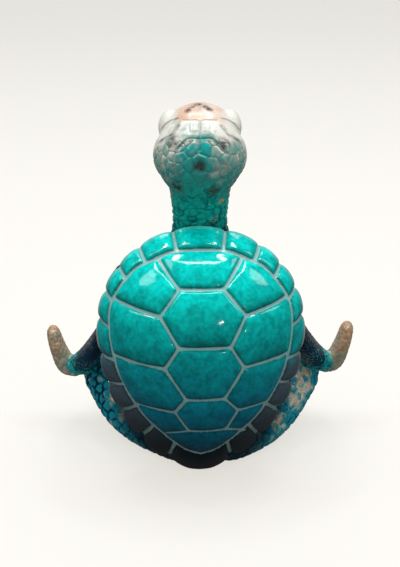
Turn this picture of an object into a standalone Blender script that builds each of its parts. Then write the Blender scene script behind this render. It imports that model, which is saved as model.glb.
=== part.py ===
"""A sea turtle that sits cross-legged, cast in one piece: a domed shell of raised plates, a neck and
head turned up, fore flippers resting on the knees with their tips raised, and crossed hind flippers.

X is the turtle's left and right, -Y is where it faces, +Z is up. The origin is on the flat underside.
"""
import math

import bmesh
import bpy
import numpy as np
from mathutils import Matrix, Vector

# Driving dimensions, in metres and degrees.
SHELL_LENGTH = 0.1117
SHELL_WIDTH = 0.0890
SHELL_RISE = 0.0355
SHELL_LEAN = 5.4
SHELL_TURN = 2.5
SHELL_FULLER_RIGHT = 1.03
RIM_THICKNESS = 0.0032
TAIL_BEHIND_ORIGIN = 0.0240
TAIL_CLEARANCE = 0.0003
SEAM_WIDTH = 0.0022
SEAM_DEPTH = 0.0009
PLATE_SWELL = 0.0008
RIM_PLATE_SWELL = 0.0015
RIM_SCALLOP = 0.0020
TORSO_DEPTH = 0.0420
BELLY_SHIELD_RISE = 0.0012
NECK_WIDTH = 0.0250
HEAD_ABOVE_SHELL = 0.0300
HEAD_LENGTH = 0.0540
HEAD_WIDTH = 0.0410
HEAD_PITCH = 35.0
ARM_WIDTH = 0.0210
ARM_THICKNESS = 0.0116
HAND_LENGTH = 0.0235
WRIST_BESIDE_KNEE = 0.0145
RIGHT_ARM_LIFT = 0.0022
LEG_THICKNESS = 0.0240
KNEE_SPREAD = 0.0437
KNEE_AHEAD_OF_TAIL = 0.0513
KNEE_HEIGHT = 0.0230
RIGHT_KNEE_OUT = 0.0014
HIP_DRIFT = 0.0018
FEET_AHEAD_OF_TAIL = 0.0740
RIGHT_FOOT_TUCK = 0.0110

# How finely the forms are worked, in metres, and the faces kept on the finished solid.
VOXEL = 0.0008
SOFTENING_PASSES = 12
FINISHED_TRIANGLES = 9300

GLAZE = (0.005, 0.30, 0.28, 1.0)
GLAZE_ROUGHNESS = 0.15

# The shell's outline: it is widest at this share of its length, counted from the tail.
WIDEST = 0.604
TAIL_TAPER = 0.60
FRONT_ROUNDING = 2.0
# How steeply the dome falls to its rim, at the sides, the front and the tail.
FALL_SIDE, FALL_FRONT, FALL_TAIL = 0.60, 0.85, 1.00

# Corners of the raised plates, as shares of the shell's half width to its left and right and of its length
# from the tail. The carver's rows drift a little to one side on the way down.
SPINE_CORNERS = [
    (0.410, -0.410, 0.909),
    (0.216, -0.212, 0.819),
    (0.400, -0.417, 0.723),
    (0.228, -0.267, 0.610),
    (0.361, -0.400, 0.521),
    (0.161, -0.217, 0.390),
    (0.267, -0.356, 0.323),
    (0.133, -0.244, 0.232),
    (0.344, -0.439, 0.204),
]
FLANK_CORNERS = [(0.844, 0.752), (0.853, 0.535), (0.650, 0.331)]
DOME_EDGE = [
    (0.000, 0.940), (0.240, 0.934), (0.410, 0.909), (0.640, 0.860), (0.844, 0.752), (0.892, 0.654),
    (0.853, 0.535), (0.775, 0.426), (0.650, 0.331), (0.525, 0.258), (0.390, 0.204), (0.180, 0.127),
    (0.000, 0.099),
]
RIM_SEAM_ANGLES = [75, 54, 38, 22, 6, -15, -32, -48, -63, -77]

# The belly shield's half width at heights from its foot, as shares of the torso's half width and height,
# and the heights of the seams across it.
SHIELD_OUTLINE = [
    (0.00, -0.80), (0.42, -0.76), (0.66, -0.54), (0.70, -0.10),
    (0.72, 0.28), (0.60, 0.56), (0.34, 0.72), (0.00, 0.76),
]
SHIELD_SEAMS = [-0.50, -0.20, 0.08, 0.34, 0.58]

# Creases of the head, as shares of its width and length: over the crown, the lips and the closed lids.
CROWN_CREASES = [
    [(0.175, 0.120), (0.103, 0.100), (0.040, 0.092), (0.000, 0.075)],
    [(0.000, 0.075), (0.000, -0.200)],
    [(0.000, -0.118), (0.061, -0.108), (0.132, -0.106), (0.203, -0.132), (0.285, -0.150)],
    [(0.230, 0.170), (0.300, 0.168), (0.400, 0.135)],
    [(0.225, 0.035), (0.305, -0.030), (0.400, -0.010)],
]
LIPS = [(0.52, -0.055), (0.36, -0.095), (0.22, -0.085), (0.06, -0.105), (-0.06, -0.060)]
LIDS = [(0.33, 0.095), (0.26, 0.055), (0.17, 0.050), (0.09, 0.085)]


def smooth_path(points, steps):
    """Points along a smooth curve through the given ones."""
    p = np.array(points, float)
    p = np.vstack([2 * p[0] - p[1], p, 2 * p[-1] - p[-2]])
    t = np.linspace(0, 1, steps, endpoint=False)[:, None]
    spans = []
    for a, b, c, d in zip(p, p[1:], p[2:], p[3:]):
        curve = 2 * b + (c - a) * t + (2 * a - 5 * b + 4 * c - d) * t**2 + (3 * b - a - 3 * c + d) * t**3
        spans.append(curve / 2)
    return np.vstack(spans + [p[-2]])


class Shell:
    """The shell's own frame: x across, w along it from the tail and h out of its rim's plane."""

    lean, turn = math.radians(SHELL_LEAN), math.radians(SHELL_TURN)
    tail = np.array([0.0, TAIL_BEHIND_ORIGIN, TAIL_CLEARANCE])
    across = np.array([math.cos(turn), math.sin(turn), 0.0])
    back = np.array([-math.sin(turn), math.cos(turn), 0.0])
    along = math.cos(lean) * np.array([0.0, 0.0, 1.0]) - math.sin(lean) * back
    out = math.cos(lean) * back + math.sin(lean) * np.array([0.0, 0.0, 1.0])
    half_width = SHELL_WIDTH / 2
    middle = WIDEST * SHELL_LENGTH

    @classmethod
    def place(cls, x, w, h):
        """Points in the turtle's frame from points in the shell's."""
        x, w, h = np.broadcast_arrays(np.asarray(x, float), w, h)
        return cls.tail + x[..., None] * cls.across + w[..., None] * cls.along + h[..., None] * cls.out

    @classmethod
    def spot(cls, x_share, w_share, depth_share):
        """A point of the body ahead of the shell, by shares of the shell and of the torso's depth.
        The shell's turn leaves it where it is."""
        x, w, ahead = x_share * cls.half_width, w_share * SHELL_LENGTH, depth_share * TORSO_DEPTH
        y = cls.tail[1] - w * math.sin(cls.lean) - ahead * math.cos(cls.lean)
        return np.array([x, y, cls.tail[2] + w * math.cos(cls.lean) - ahead * math.sin(cls.lean)])

    @classmethod
    def outline(cls, w):
        """The shell's half width at a distance from the tail."""
        t = w / SHELL_LENGTH
        low = np.clip((WIDEST - t) / WIDEST, 0, 1)
        high = np.clip((t - WIDEST) / (1 - WIDEST), 0, 1)
        tail_side = (1 - low**2) ** TAIL_TAPER
        front_side = (1 - high**FRONT_ROUNDING) ** (1 / FRONT_ROUNDING)
        return cls.half_width * np.where(t < WIDEST, tail_side, front_side)

    @classmethod
    def reach(cls, angle):
        """The rim's distance from the dome's middle in each direction."""
        across, up = np.cos(angle), np.sin(angle)
        across = np.where(across < 0, -across / SHELL_FULLER_RIGHT, across)
        low, high = np.zeros_like(up), np.full_like(up, SHELL_LENGTH)
        for _ in range(40):
            r = (low + high) / 2
            w = cls.middle + r * up
            half = cls.outline(np.clip(w, 0, SHELL_LENGTH))
            inside = (w >= 0) & (w <= SHELL_LENGTH) & (r * across <= half)
            low, high = np.where(inside, r, low), np.where(inside, high, r)
        return low

    @classmethod
    def rise(cls, share, angle):
        """The dome's height at a share of the way from its middle to the rim."""
        up2 = np.sin(angle) ** 2
        end = np.where(np.sin(angle) > 0, FALL_FRONT, FALL_TAIL)
        fall = FALL_SIDE * (1 - up2) + end * up2
        return SHELL_RISE * np.maximum(1 - share**2, 0) ** fall

    @classmethod
    def surface(cls, x, w):
        """Points on the dome above (x, w), which are distances."""
        x, w = np.asarray(x, float), np.asarray(w, float)
        angle = np.arctan2(w - cls.middle, x)
        share = np.hypot(x, w - cls.middle) / cls.reach(angle)
        return cls.place(x, w, cls.rise(np.minimum(share, 1), angle))

    @classmethod
    def seam(cls, ends, steps=10):
        """A seam on the dome through points given as shares."""
        points = [(x * cls.half_width, w * SHELL_LENGTH) for x, w in ends]
        path = np.vstack([np.linspace(a, b, steps) for a, b in zip(points, points[1:])])
        return cls.surface(path[:, 0], path[:, 1])


def dome_seams():
    """The seams between the plates of the dome, as paths on its surface."""
    seams = []
    for side in (0, 1):
        corners = [(row[side], row[2]) for row in SPINE_CORNERS]
        seams.append(Shell.seam(corners))
        for corner, (x, w) in zip(corners[2::2], FLANK_CORNERS):
            seams.append(Shell.seam([corner, (math.copysign(x, corner[0]), w)]))
    for left, right, w in SPINE_CORNERS[1::2]:
        seams.append(Shell.seam([(left, w), (right, w)]))
    return seams


def dome_edge():
    """The seam all round the dome, where it meets the rim's plates, as distances in the rim's plane."""
    left = smooth_path(DOME_EDGE, 8)
    loop = np.vstack([left, left[::-1] * (-1, 1)])
    return loop[:, 0] * Shell.half_width, loop[:, 1] * SHELL_LENGTH


def edge_share(angle):
    """The share of the way out at which the dome meets the rim's plates, in each direction."""
    x, w = dome_edge()
    at = np.arctan2(w - Shell.middle, x)
    share = np.hypot(x, w - Shell.middle) / Shell.reach(at)
    order = np.argsort(at)
    return np.interp(angle, at[order], share[order], period=2 * math.pi)


def rim_plate_bulge(angle):
    """0 on a seam between two rim plates and 1 at a plate's middle."""
    seams = np.radians(RIM_SEAM_ANGLES)
    bounds = np.sort(np.concatenate([seams, math.pi - seams]))
    bounds = np.concatenate([[bounds[-1] - 2 * math.pi], bounds, [bounds[0] + 2 * math.pi]])
    turned = np.mod(angle - bounds[1], 2 * math.pi) + bounds[1]
    i = np.clip(np.searchsorted(bounds, turned, side="right") - 1, 0, len(bounds) - 2)
    share = (turned - bounds[i]) / (bounds[i + 1] - bounds[i])
    return 1 - np.abs(2 * share - 1) ** 3


def distance_to_paths(points, paths):
    """Each point's distance to the nearest of several paths."""
    nearest = np.full(len(points), np.inf)
    for path in paths:
        for a, b in zip(path, path[1:]):
            run = b - a
            length2 = run @ run
            if length2 < 1e-14:
                continue
            t = np.clip((points - a) @ run / length2, 0, 1)
            nearest = np.minimum(nearest, np.linalg.norm(points - a - t[:, None] * run, axis=1))
    return nearest


def groove(distance, width):
    """1 in the middle of a groove, falling smoothly to 0 at its edges."""
    return np.clip(1 - (2 * distance / width) ** 2, 0, 1) ** 2


def mesh_object(name, points, faces):
    mesh = bpy.data.meshes.new(name)
    mesh.from_pydata([tuple(p) for p in points], [], [tuple(f) for f in faces])
    mesh.update()
    made = bpy.data.objects.new(name, mesh)
    bpy.context.scene.collection.objects.link(made)
    return made


def read_points(mesh, what="co"):
    flat = np.empty(len(mesh.vertices) * 3)
    mesh.vertices.foreach_get(what, flat)
    return flat.reshape(-1, 3)


def write_points(mesh, points):
    mesh.vertices.foreach_set("co", np.asarray(points, float).ravel())
    mesh.update()


def make_shell(turns=240, rings=76):
    """The shell as a closed solid: dome, swollen rim plates, a rounded lip and a flat inner side."""
    angle = np.linspace(0, 2 * math.pi, turns, endpoint=False)
    reach, bulge, edge = Shell.reach(angle), rim_plate_bulge(angle), edge_share(angle)
    rows = []
    for share in np.sin(np.linspace(0, math.pi / 2, rings + 1)[1:]):
        past_edge = np.clip((share - edge) / (1 - edge), 0, 1)
        r = reach * share + RIM_SCALLOP * (bulge - 0.6) * past_edge**2
        swell = RIM_PLATE_SWELL * bulge * np.sin(math.pi * past_edge**0.7)
        rows.append((r, Shell.rise(share, angle) + swell))
    for inset, depth in ((0.992, 0.55), (0.960, 1.0), (0.60, 1.0)):
        r = reach * inset + RIM_SCALLOP * (bulge - 0.6) * (inset > 0.9)
        rows.append((r, -depth * RIM_THICKNESS))
    points = [Shell.place(0.0, Shell.middle, SHELL_RISE)]
    for r, h in rows:
        points.append(Shell.place(r * np.cos(angle), Shell.middle + r * np.sin(angle), h))
    points.append(Shell.place(0.0, Shell.middle, -RIM_THICKNESS))
    flat = np.vstack([np.atleast_2d(p) for p in points])
    first, last = 0, len(flat) - 1
    faces = []
    for j in range(turns):
        k = (j + 1) % turns
        faces.append((first, 1 + j, 1 + k))
        for i in range(len(rows) - 1):
            a, b = 1 + i * turns, 1 + (i + 1) * turns
            faces.append((a + j, b + j, b + k, a + k))
        bottom = 1 + (len(rows) - 1) * turns
        faces.append((bottom + j, last, bottom + k))
    return mesh_object("shell", flat, faces)


def ellipsoid(name, centre, radii, turn=None):
    """A ball drawn out to three radii and turned."""
    made = bpy.data.meshes.new(name)
    form = bmesh.new()
    bmesh.ops.create_uvsphere(form, u_segments=40, v_segments=20, radius=1)
    form.transform(Matrix.Translation(Vector(centre)) @ (turn or Matrix()) @ Matrix.Diagonal((*radii, 1)))
    form.to_mesh(made)
    form.free()
    ball = bpy.data.objects.new(name, made)
    bpy.context.scene.collection.objects.link(ball)
    return ball


def limb(name, stations, wide, sides=20):
    """A solid swept through stations of centre, half width and half thickness, with rounded ends.
    wide is its broad way."""
    table = smooth_path([(*centre, a, b) for centre, a, b in stations], 6)
    centres, halves = table[:, :3], table[:, 3:]
    runs = np.gradient(centres, axis=0)
    runs /= np.linalg.norm(runs, axis=1)[:, None]
    rings = []
    for turn in np.radians((80, 60, 40, 20)):
        first = centres[0] - runs[0] * math.sin(turn) * halves[0].mean()
        rings.append((first, runs[0], halves[0] * math.cos(turn)))
    rings += list(zip(centres, runs, halves))
    for turn in np.radians((20, 40, 60, 80)):
        last = centres[-1] + runs[-1] * math.sin(turn) * halves[-1].mean()
        rings.append((last, runs[-1], halves[-1] * math.cos(turn)))
    around = np.linspace(0, 2 * math.pi, sides, endpoint=False)
    wide = np.array(wide, float)
    points = []
    for centre, run, (a, b) in rings:
        broad = wide - run * (wide @ run)
        broad /= np.linalg.norm(broad)
        thin = np.cross(run, broad)
        points += [centre + broad * a * math.cos(t) + thin * b * math.sin(t) for t in around]
    faces = [tuple(reversed(range(sides))), tuple(range(len(points) - sides, len(points)))]
    for i in range(len(rings) - 1):
        for j in range(sides):
            k = (j + 1) % sides
            faces.append((i * sides + j, i * sides + k, (i + 1) * sides + k, (i + 1) * sides + j))
    return mesh_object(name, points, faces)


class Head:
    """The head's own frame: side, ahead along the snout, and up out of the crown."""

    pitch = math.radians(HEAD_PITCH)
    centre = Shell.spot(0, 1.0, 0) + np.array([0.0, -0.38 * NECK_WIDTH, HEAD_ABOVE_SHELL])
    side = np.array([1.0, 0.0, 0.0])
    ahead = np.array([0.0, -math.cos(pitch), math.sin(pitch)])
    up = np.array([0.0, math.sin(pitch), math.cos(pitch)])
    size = np.array([HEAD_WIDTH, HEAD_LENGTH, HEAD_LENGTH])

    @classmethod
    def place(cls, side, ahead, up):
        """A point from shares of the head's width and length."""
        return cls.centre + np.array([side, ahead, up]) * cls.size @ np.array([cls.side, cls.ahead, cls.up])

    @classmethod
    def shares(cls, points):
        """The shares of the head's width and length at each point."""
        return (points - cls.centre) @ np.array([cls.side, cls.ahead, cls.up]).T / cls.size


def head_ball(name, at, radii):
    """A ball in the head, placed and sized by shares of its width and length."""
    turn = Matrix([(a, b, c, 0) for a, b, c in zip(-Head.side, Head.ahead, Head.up)] + [(0, 0, 0, 1)])
    return ellipsoid(name, Head.place(*at), np.array(radii) * Head.size, turn)


def head_forms():
    forms = [
        head_ball("skull", (0, -0.03, 0.01), (0.455, 0.37, 0.31)),
        head_ball("brow", (0, 0.13, 0.05), (0.40, 0.30, 0.235)),
        head_ball("snout", (0, 0.285, -0.025), (0.28, 0.22, 0.20)),
        head_ball("chin", (0, 0.12, -0.15), (0.33, 0.30, 0.15)),
    ]
    for side in (1, -1):
        forms.append(head_ball("cheek", (side * 0.23, -0.01, 0.0), (0.26, 0.23, 0.225)))
        forms.append(head_ball("eyelid", (side * 0.30, 0.22, 0.065), (0.14, 0.16, 0.12)))
    return forms


def neck_stations():
    half = NECK_WIDTH / 2
    root = Shell.spot(0, 0.74, 0.190)
    collar = Shell.spot(0, 0.95, 0.298)
    nape = Head.place(0, -0.14, -0.16)
    middle = collar * 0.5 + nape * 0.5 - np.array([0, 0.04 * NECK_WIDTH, 0])
    return [(root, 1.75 * half, 1.05 * half), (collar, 1.02 * half, 0.92 * half),
            (middle, 0.97 * half, 0.94 * half), (nape, 1.10 * half, 1.05 * half)]


class Torso:
    """The trunk under the shell."""

    middle = Shell.spot(0, 0.50, 0.202)
    half = np.array([0.86 * Shell.half_width, TORSO_DEPTH / 2, 0.47 * SHELL_LENGTH])


def torso_forms():
    half, depth = LEG_THICKNESS / 2, TORSO_DEPTH / 2
    seat = (-HIP_DRIFT, TAIL_BEHIND_ORIGIN - depth, 0.65 * half)
    lap = (0, TAIL_BEHIND_ORIGIN - 0.54 * FEET_AHEAD_OF_TAIL, 0.33 * half)
    forms = [
        ellipsoid("torso", Torso.middle, Torso.half),
        ellipsoid("seat", seat, (1.10 * depth, 0.76 * depth, 0.90 * half)),
        ellipsoid("lap", lap, (0.82 * KNEE_SPREAD, 0.48 * FEET_AHEAD_OF_TAIL, 0.88 * half)),
    ]
    for side in (1, -1):
        shoulder = Shell.spot(side * 0.50, 0.72, 0.226)
        radii = (0.42 * Shell.half_width, 0.60 * depth, 0.155 * SHELL_LENGTH)
        forms.append(ellipsoid("shoulder", shoulder, radii))
    return forms


def knee_of(side):
    """A knee's middle. The right one stands out further."""
    out = KNEE_SPREAD if side > 0 else KNEE_SPREAD + RIGHT_KNEE_OUT
    return np.array([side * out, TAIL_BEHIND_ORIGIN - KNEE_AHEAD_OF_TAIL, KNEE_HEIGHT])


def thigh_stations(side):
    """The thigh runs out from the hip to the knee. The hips sit a little to the right."""
    half, tail = LEG_THICKNESS / 2, TAIL_BEHIND_ORIGIN
    knee = knee_of(side)
    hip = (side * half - HIP_DRIFT, tail - half, 0.91 * half)
    thigh = (0.57 * knee[0] - HIP_DRIFT / 2, tail - 0.50 * KNEE_AHEAD_OF_TAIL, 0.91 * half)
    bend = (0.79 * knee[0], tail - 0.70 * KNEE_AHEAD_OF_TAIL, 1.25 * half)
    return [(hip, half, half), (thigh, 1.02 * half, 1.02 * half), (bend, 1.02 * half, 1.02 * half),
            (knee, half, half)]


def hind_flipper_stations(side):
    """The hind flipper folds back from the knee, in front of the body. The left one lies on top."""
    half, feet = LEG_THICKNESS / 2, TAIL_BEHIND_ORIGIN - FEET_AHEAD_OF_TAIL
    lift, tuck = (1.0, 0.0) if side > 0 else (0.55, RIGHT_FOOT_TUCK)
    shin = (side * 0.65 * KNEE_SPREAD, feet + 0.33 * half + 0.4 * tuck, (1.05 + 0.40 * lift) * half)
    ankle = (side * 0.30 * KNEE_SPREAD, feet - 0.08 * half + 0.8 * tuck, (0.45 + 0.85 * lift) * half)
    sole = (-side * 0.14 * KNEE_SPREAD, feet - 0.08 * half + tuck, (0.25 + 0.85 * lift) * half)
    toe = (-side * 0.53 * KNEE_SPREAD, feet + 0.46 * half + tuck, (0.20 + 0.75 * lift) * half)
    return [(knee_of(side), 0.88 * half, 0.88 * half), (shin, 0.80 * half, 0.74 * half),
            (ankle, 0.66 * half, 0.50 * half), (sole, 0.86 * half, 0.38 * half),
            (toe, 0.62 * half, 0.26 * half)]


def hand_step(side, out, back, up):
    """A step from one point of a fore flipper to the next, by shares of the hand's length."""
    return np.array([side * out, back, up]) * HAND_LENGTH


def arm_lift(side):
    """How much higher an arm is than the left one."""
    return 0.0 if side > 0 else RIGHT_ARM_LIFT


def wrist_of(side):
    """Where a fore flipper rests beside the knee and turns up."""
    x = side * (KNEE_SPREAD + WRIST_BESIDE_KNEE)
    beside = np.array([x, TAIL_BEHIND_ORIGIN - KNEE_AHEAD_OF_TAIL, KNEE_HEIGHT + arm_lift(side)])
    return beside + hand_step(side, 0, 0.043, 0.245)


def arm_stations(side):
    """The arm comes down and out from the shoulder to the wrist."""
    wide, thick = ARM_WIDTH / 2, ARM_THICKNESS / 2
    wrist = wrist_of(side)
    shoulder = Shell.spot(side * 0.68, 0.67, 0.286) + (0, 0, arm_lift(side))
    forearm = wrist + hand_step(side, -0.328, 0.362, 0.404)
    upper_arm = shoulder * 0.5 + forearm * 0.5 + hand_step(side, 0.043, 0, -0.043)
    return [(shoulder, 1.20 * wide, 1.45 * thick), (upper_arm, wide, thick), (forearm, 0.85 * wide, thick),
            (wrist, 0.70 * wide, 0.85 * thick)]


def hand_stations(side):
    """The flipper's end stands up from the wrist, flat and blunt."""
    wide, thick = ARM_WIDTH / 2, ARM_THICKNESS / 2
    wrist = wrist_of(side)
    heel = wrist + hand_step(side, 0.234, -0.043, -0.021)
    palm = wrist + hand_step(side, 0.410, -0.064, 0.34)
    tip = wrist + hand_step(side, 0.485, -0.085, 0.61)
    return [(wrist + hand_step(side, -0.085, 0, 0), 0.66 * wide, 0.80 * thick),
            (heel, 0.68 * wide, 0.80 * thick), (palm, 0.76 * wide, 0.64 * thick),
            (tip, 0.62 * wide, 0.56 * thick)]


def body_forms():
    forms = torso_forms() + head_forms() + [limb("neck", neck_stations(), (1, 0, 0))]
    for side in (1, -1):
        forms.append(limb("thigh", thigh_stations(side), (0, 0, 1)))
        forms.append(limb("hind_flipper", hind_flipper_stations(side), (0, 0.5, 0.85)))
        forms.append(limb("arm", arm_stations(side), (0, 1, 0.3)))
        forms.append(limb("hand", hand_stations(side), (0, 1, 0.1)))
    return forms


def fuse(name, forms):
    """Joins overlapping solids into one smooth skin."""
    with bpy.context.temp_override(active_object=forms[0], selected_editable_objects=forms):
        bpy.ops.object.join()
    joined = forms[0]
    joined.name = name
    remesh = joined.modifiers.new("one_skin", "REMESH")
    remesh.mode = "VOXEL"
    remesh.voxel_size = VOXEL
    smooth = joined.modifiers.new("soften", "SMOOTH")
    smooth.factor = 0.5
    smooth.iterations = SOFTENING_PASSES
    bpy.context.view_layer.update()
    whole = bpy.data.meshes.new_from_object(joined.evaluated_get(bpy.context.evaluated_depsgraph_get()))
    joined.modifiers.clear()
    joined.data = whole
    return joined


def shell_carving(points):
    """How far each point of the shell rises or sinks: seams between plates, and the plates between them."""
    local = points - Shell.tail
    x, w, h = local @ Shell.across, local @ Shell.along - Shell.middle, local @ Shell.out
    angle, r = np.arctan2(w, x), np.hypot(x, w)
    share = r / Shell.reach(angle)
    on_top = (h > 0.15 * RIM_THICKNESS) & (share < 1.04)
    on_top &= np.abs(h - Shell.rise(np.minimum(share, 1), angle)) < 2 * RIM_PLATE_SWELL
    on_dome = share < edge_share(angle)
    to_edge = distance_to_paths(points, [Shell.surface(*dome_edge())])
    nearest = np.minimum(distance_to_paths(points, dome_seams()), to_edge)
    seams = np.radians(RIM_SEAM_ANGLES)
    seams = np.concatenate([seams, math.pi - seams])
    to_rim_seam = r * np.abs(np.angle(np.exp(1j * (angle[:, None] - seams)))).min(1)
    nearest = np.where(on_dome, nearest, np.minimum(to_edge, to_rim_seam))
    swell = PLATE_SWELL * (1 - np.exp(-nearest / SEAM_WIDTH)) * on_dome
    return (swell - SEAM_DEPTH * groove(nearest, SEAM_WIDTH)) * on_top


def belly_carving(points, normals):
    """The raised shield of the belly and the seams across it."""
    share = (points - Torso.middle) / Torso.half
    on_torso = (np.abs(np.linalg.norm(share, axis=1) - 1) < 0.2) & (share[:, 1] < 0)
    front = np.clip(-normals[:, 1] * 2 - 0.4, 0, 1) * on_torso
    outline = smooth_path(SHIELD_OUTLINE, 6)
    half = np.interp(share[:, 2], outline[:, 1], outline[:, 0], left=0, right=0)
    within = np.clip((half - np.abs(share[:, 0])) / 0.06, 0, 1)
    to_seam = np.abs(share[:, 2, None] - SHIELD_SEAMS).min(1) * Torso.half[2]
    to_seam = np.minimum(to_seam, np.abs(points[:, 0]))
    return front * within * (BELLY_SHIELD_RISE - SEAM_DEPTH * groove(to_seam, SEAM_WIDTH))


def head_carving(points, normals):
    """The creases of the crown, the lips and the closed lids."""
    side, ahead, up = Head.shares(points).T
    near = (np.abs(up) < 0.5) & (np.abs(ahead) < 0.6) & (np.abs(side) < 0.6)
    facing_up = normals @ Head.up
    crown = near & (facing_up > 0.25)
    flank = near & (np.abs(normals[:, 0]) > 0.10) & (facing_up < 0.8)
    width = SEAM_WIDTH / HEAD_LENGTH
    across = HEAD_WIDTH / HEAD_LENGTH
    from_above = np.stack([np.abs(side) * across, ahead], 1)
    from_beside = np.stack([ahead, up], 1)
    crown_paths = [smooth_path(crease, 5) * (across, 1) for crease in CROWN_CREASES]
    flank_paths = [smooth_path(LIPS, 5), smooth_path(LIDS, 5)]
    on_crown = 0.6 * crown * groove(distance_to_paths(from_above, crown_paths), width)
    on_flank = 0.8 * flank * groove(distance_to_paths(from_beside, flank_paths), width)
    return -SEAM_DEPTH * np.maximum(on_crown, on_flank)


def carve(turtle):
    """Carves the smooth skin."""
    points, normals = read_points(turtle.data), read_points(turtle.data, "normal")
    move = shell_carving(points) + belly_carving(points, normals) + head_carving(points, normals)
    write_points(turtle.data, points + normals * move[:, None])


def block(name, low, high):
    """A box between two corners, for cutting."""
    made = bpy.data.meshes.new(name)
    form = bmesh.new()
    bmesh.ops.create_cube(form, size=1)
    low, high = Vector(low), Vector(high)
    form.transform(Matrix.Translation((low + high) / 2) @ Matrix.Diagonal((*(high - low), 1)))
    form.to_mesh(made)
    form.free()
    box = bpy.data.objects.new(name, made)
    bpy.context.scene.collection.objects.link(box)
    return box


def glaze_material():
    material = bpy.data.materials.new("glazed_casting")
    material.use_nodes = True
    shader = material.node_tree.nodes["Principled BSDF"]
    shader.inputs["Base Color"].default_value = GLAZE
    shader.inputs["Roughness"].default_value = GLAZE_ROUGHNESS
    shader.inputs["Metallic"].default_value = 0.0
    return material


def build():
    for old in list(bpy.data.objects):
        bpy.data.objects.remove(old)
    turtle = fuse("turtle_figurine", [make_shell()] + body_forms())
    carve(turtle)
    turtle.data.materials.clear()
    turtle.data.materials.append(glaze_material())
    figurine = bpy.data.collections.new("turtle_figurine")
    cutters = bpy.data.collections.new("cutters")
    for collection in (figurine, cutters):
        bpy.context.scene.collection.children.link(collection)
    wide = 2 * SHELL_LENGTH
    floor = block("floor_cutter", (-wide, -wide, -SHELL_LENGTH), (wide, wide, 0.0))
    floor.hide_render = True
    floor.display_type = "WIRE"
    fewer = turtle.modifiers.new("fewer_faces", "DECIMATE")
    fewer.ratio = FINISHED_TRIANGLES / (2 * len(turtle.data.polygons))
    cut = turtle.modifiers.new("flat_underside", "BOOLEAN")
    cut.operation = "DIFFERENCE"
    cut.object = floor
    for thing, collection in ((turtle, figurine), (floor, cutters)):
        bpy.context.scene.collection.objects.unlink(thing)
        collection.objects.link(thing)
    return turtle


build()
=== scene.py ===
"""The looks of a glazed turtle that sits cross-legged: its shell, its head and neck, its body and flippers.

X is the turtle's left and right, -Y is where it faces, +Z is up. Everything is in metres and on the frame.
"""
import math

import bmesh
import bpy
import numpy as np
from mathutils import Matrix, Vector, kdtree


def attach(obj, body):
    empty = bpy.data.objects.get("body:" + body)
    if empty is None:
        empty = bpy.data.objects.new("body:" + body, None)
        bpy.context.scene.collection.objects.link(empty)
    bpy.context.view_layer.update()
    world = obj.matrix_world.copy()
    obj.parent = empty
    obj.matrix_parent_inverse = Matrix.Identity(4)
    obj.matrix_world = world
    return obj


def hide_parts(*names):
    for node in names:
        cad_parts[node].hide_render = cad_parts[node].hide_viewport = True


bl_info = {
    "name": "Glazed turtle",
    "version": (1, 0, 0),
    "blender": (4, 5, 0),
    "location": "3D View > Sidebar > Turtle",
    "description": "Builds a glazed turtle figurine, its glazes and a pale stage",
    "category": "Object",
}

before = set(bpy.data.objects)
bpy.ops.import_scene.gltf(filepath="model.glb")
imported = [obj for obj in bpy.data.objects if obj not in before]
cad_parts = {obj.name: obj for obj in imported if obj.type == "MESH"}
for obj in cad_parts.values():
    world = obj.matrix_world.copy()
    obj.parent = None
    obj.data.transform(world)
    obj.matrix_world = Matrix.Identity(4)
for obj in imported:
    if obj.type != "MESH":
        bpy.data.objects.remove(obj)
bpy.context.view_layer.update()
NODE = "turtle_figurine"

# The main forms, in metres and degrees, as the frame has them.
SHELL_LENGTH = 0.1117
SHELL_WIDTH = 0.0890
SHELL_RISE = 0.0355
SHELL_LEAN = 5.4
SHELL_TURN = 2.5
SHELL_FULLER_RIGHT = 1.03
RIM_THICKNESS = 0.0032
TAIL_BEHIND_ORIGIN = 0.0240
TAIL_CLEARANCE = 0.0003
RIM_PLATE_SWELL = 0.0015
RIM_SCALLOP = 0.0020
TORSO_DEPTH = 0.0420
BELLY_SHIELD_RISE = 0.0012
NECK_WIDTH = 0.0250
HEAD_ABOVE_SHELL = 0.0300
HEAD_LENGTH = 0.0540
HEAD_WIDTH = 0.0410
HEAD_PITCH = 35.0
ARM_WIDTH = 0.0210
ARM_THICKNESS = 0.0116
HAND_LENGTH = 0.0235
WRIST_BESIDE_KNEE = 0.0145
RIGHT_ARM_LIFT = 0.0022
LEG_THICKNESS = 0.0240
KNEE_SPREAD = 0.0437
KNEE_AHEAD_OF_TAIL = 0.0513
KNEE_HEIGHT = 0.0230
RIGHT_KNEE_OUT = 0.0014
HIP_DRIFT = 0.0018
FEET_AHEAD_OF_TAIL = 0.0740
RIGHT_FOOT_TUCK = 0.0110

# The shell's outline: it is widest at this share of its length, counted from the tail.
WIDEST = 0.604
TAIL_TAPER = 0.60
FRONT_ROUNDING = 2.0
# How steeply the dome falls to its rim, at the sides, the front and the tail.
FALL_SIDE, FALL_FRONT, FALL_TAIL = 0.60, 0.85, 1.00

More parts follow.
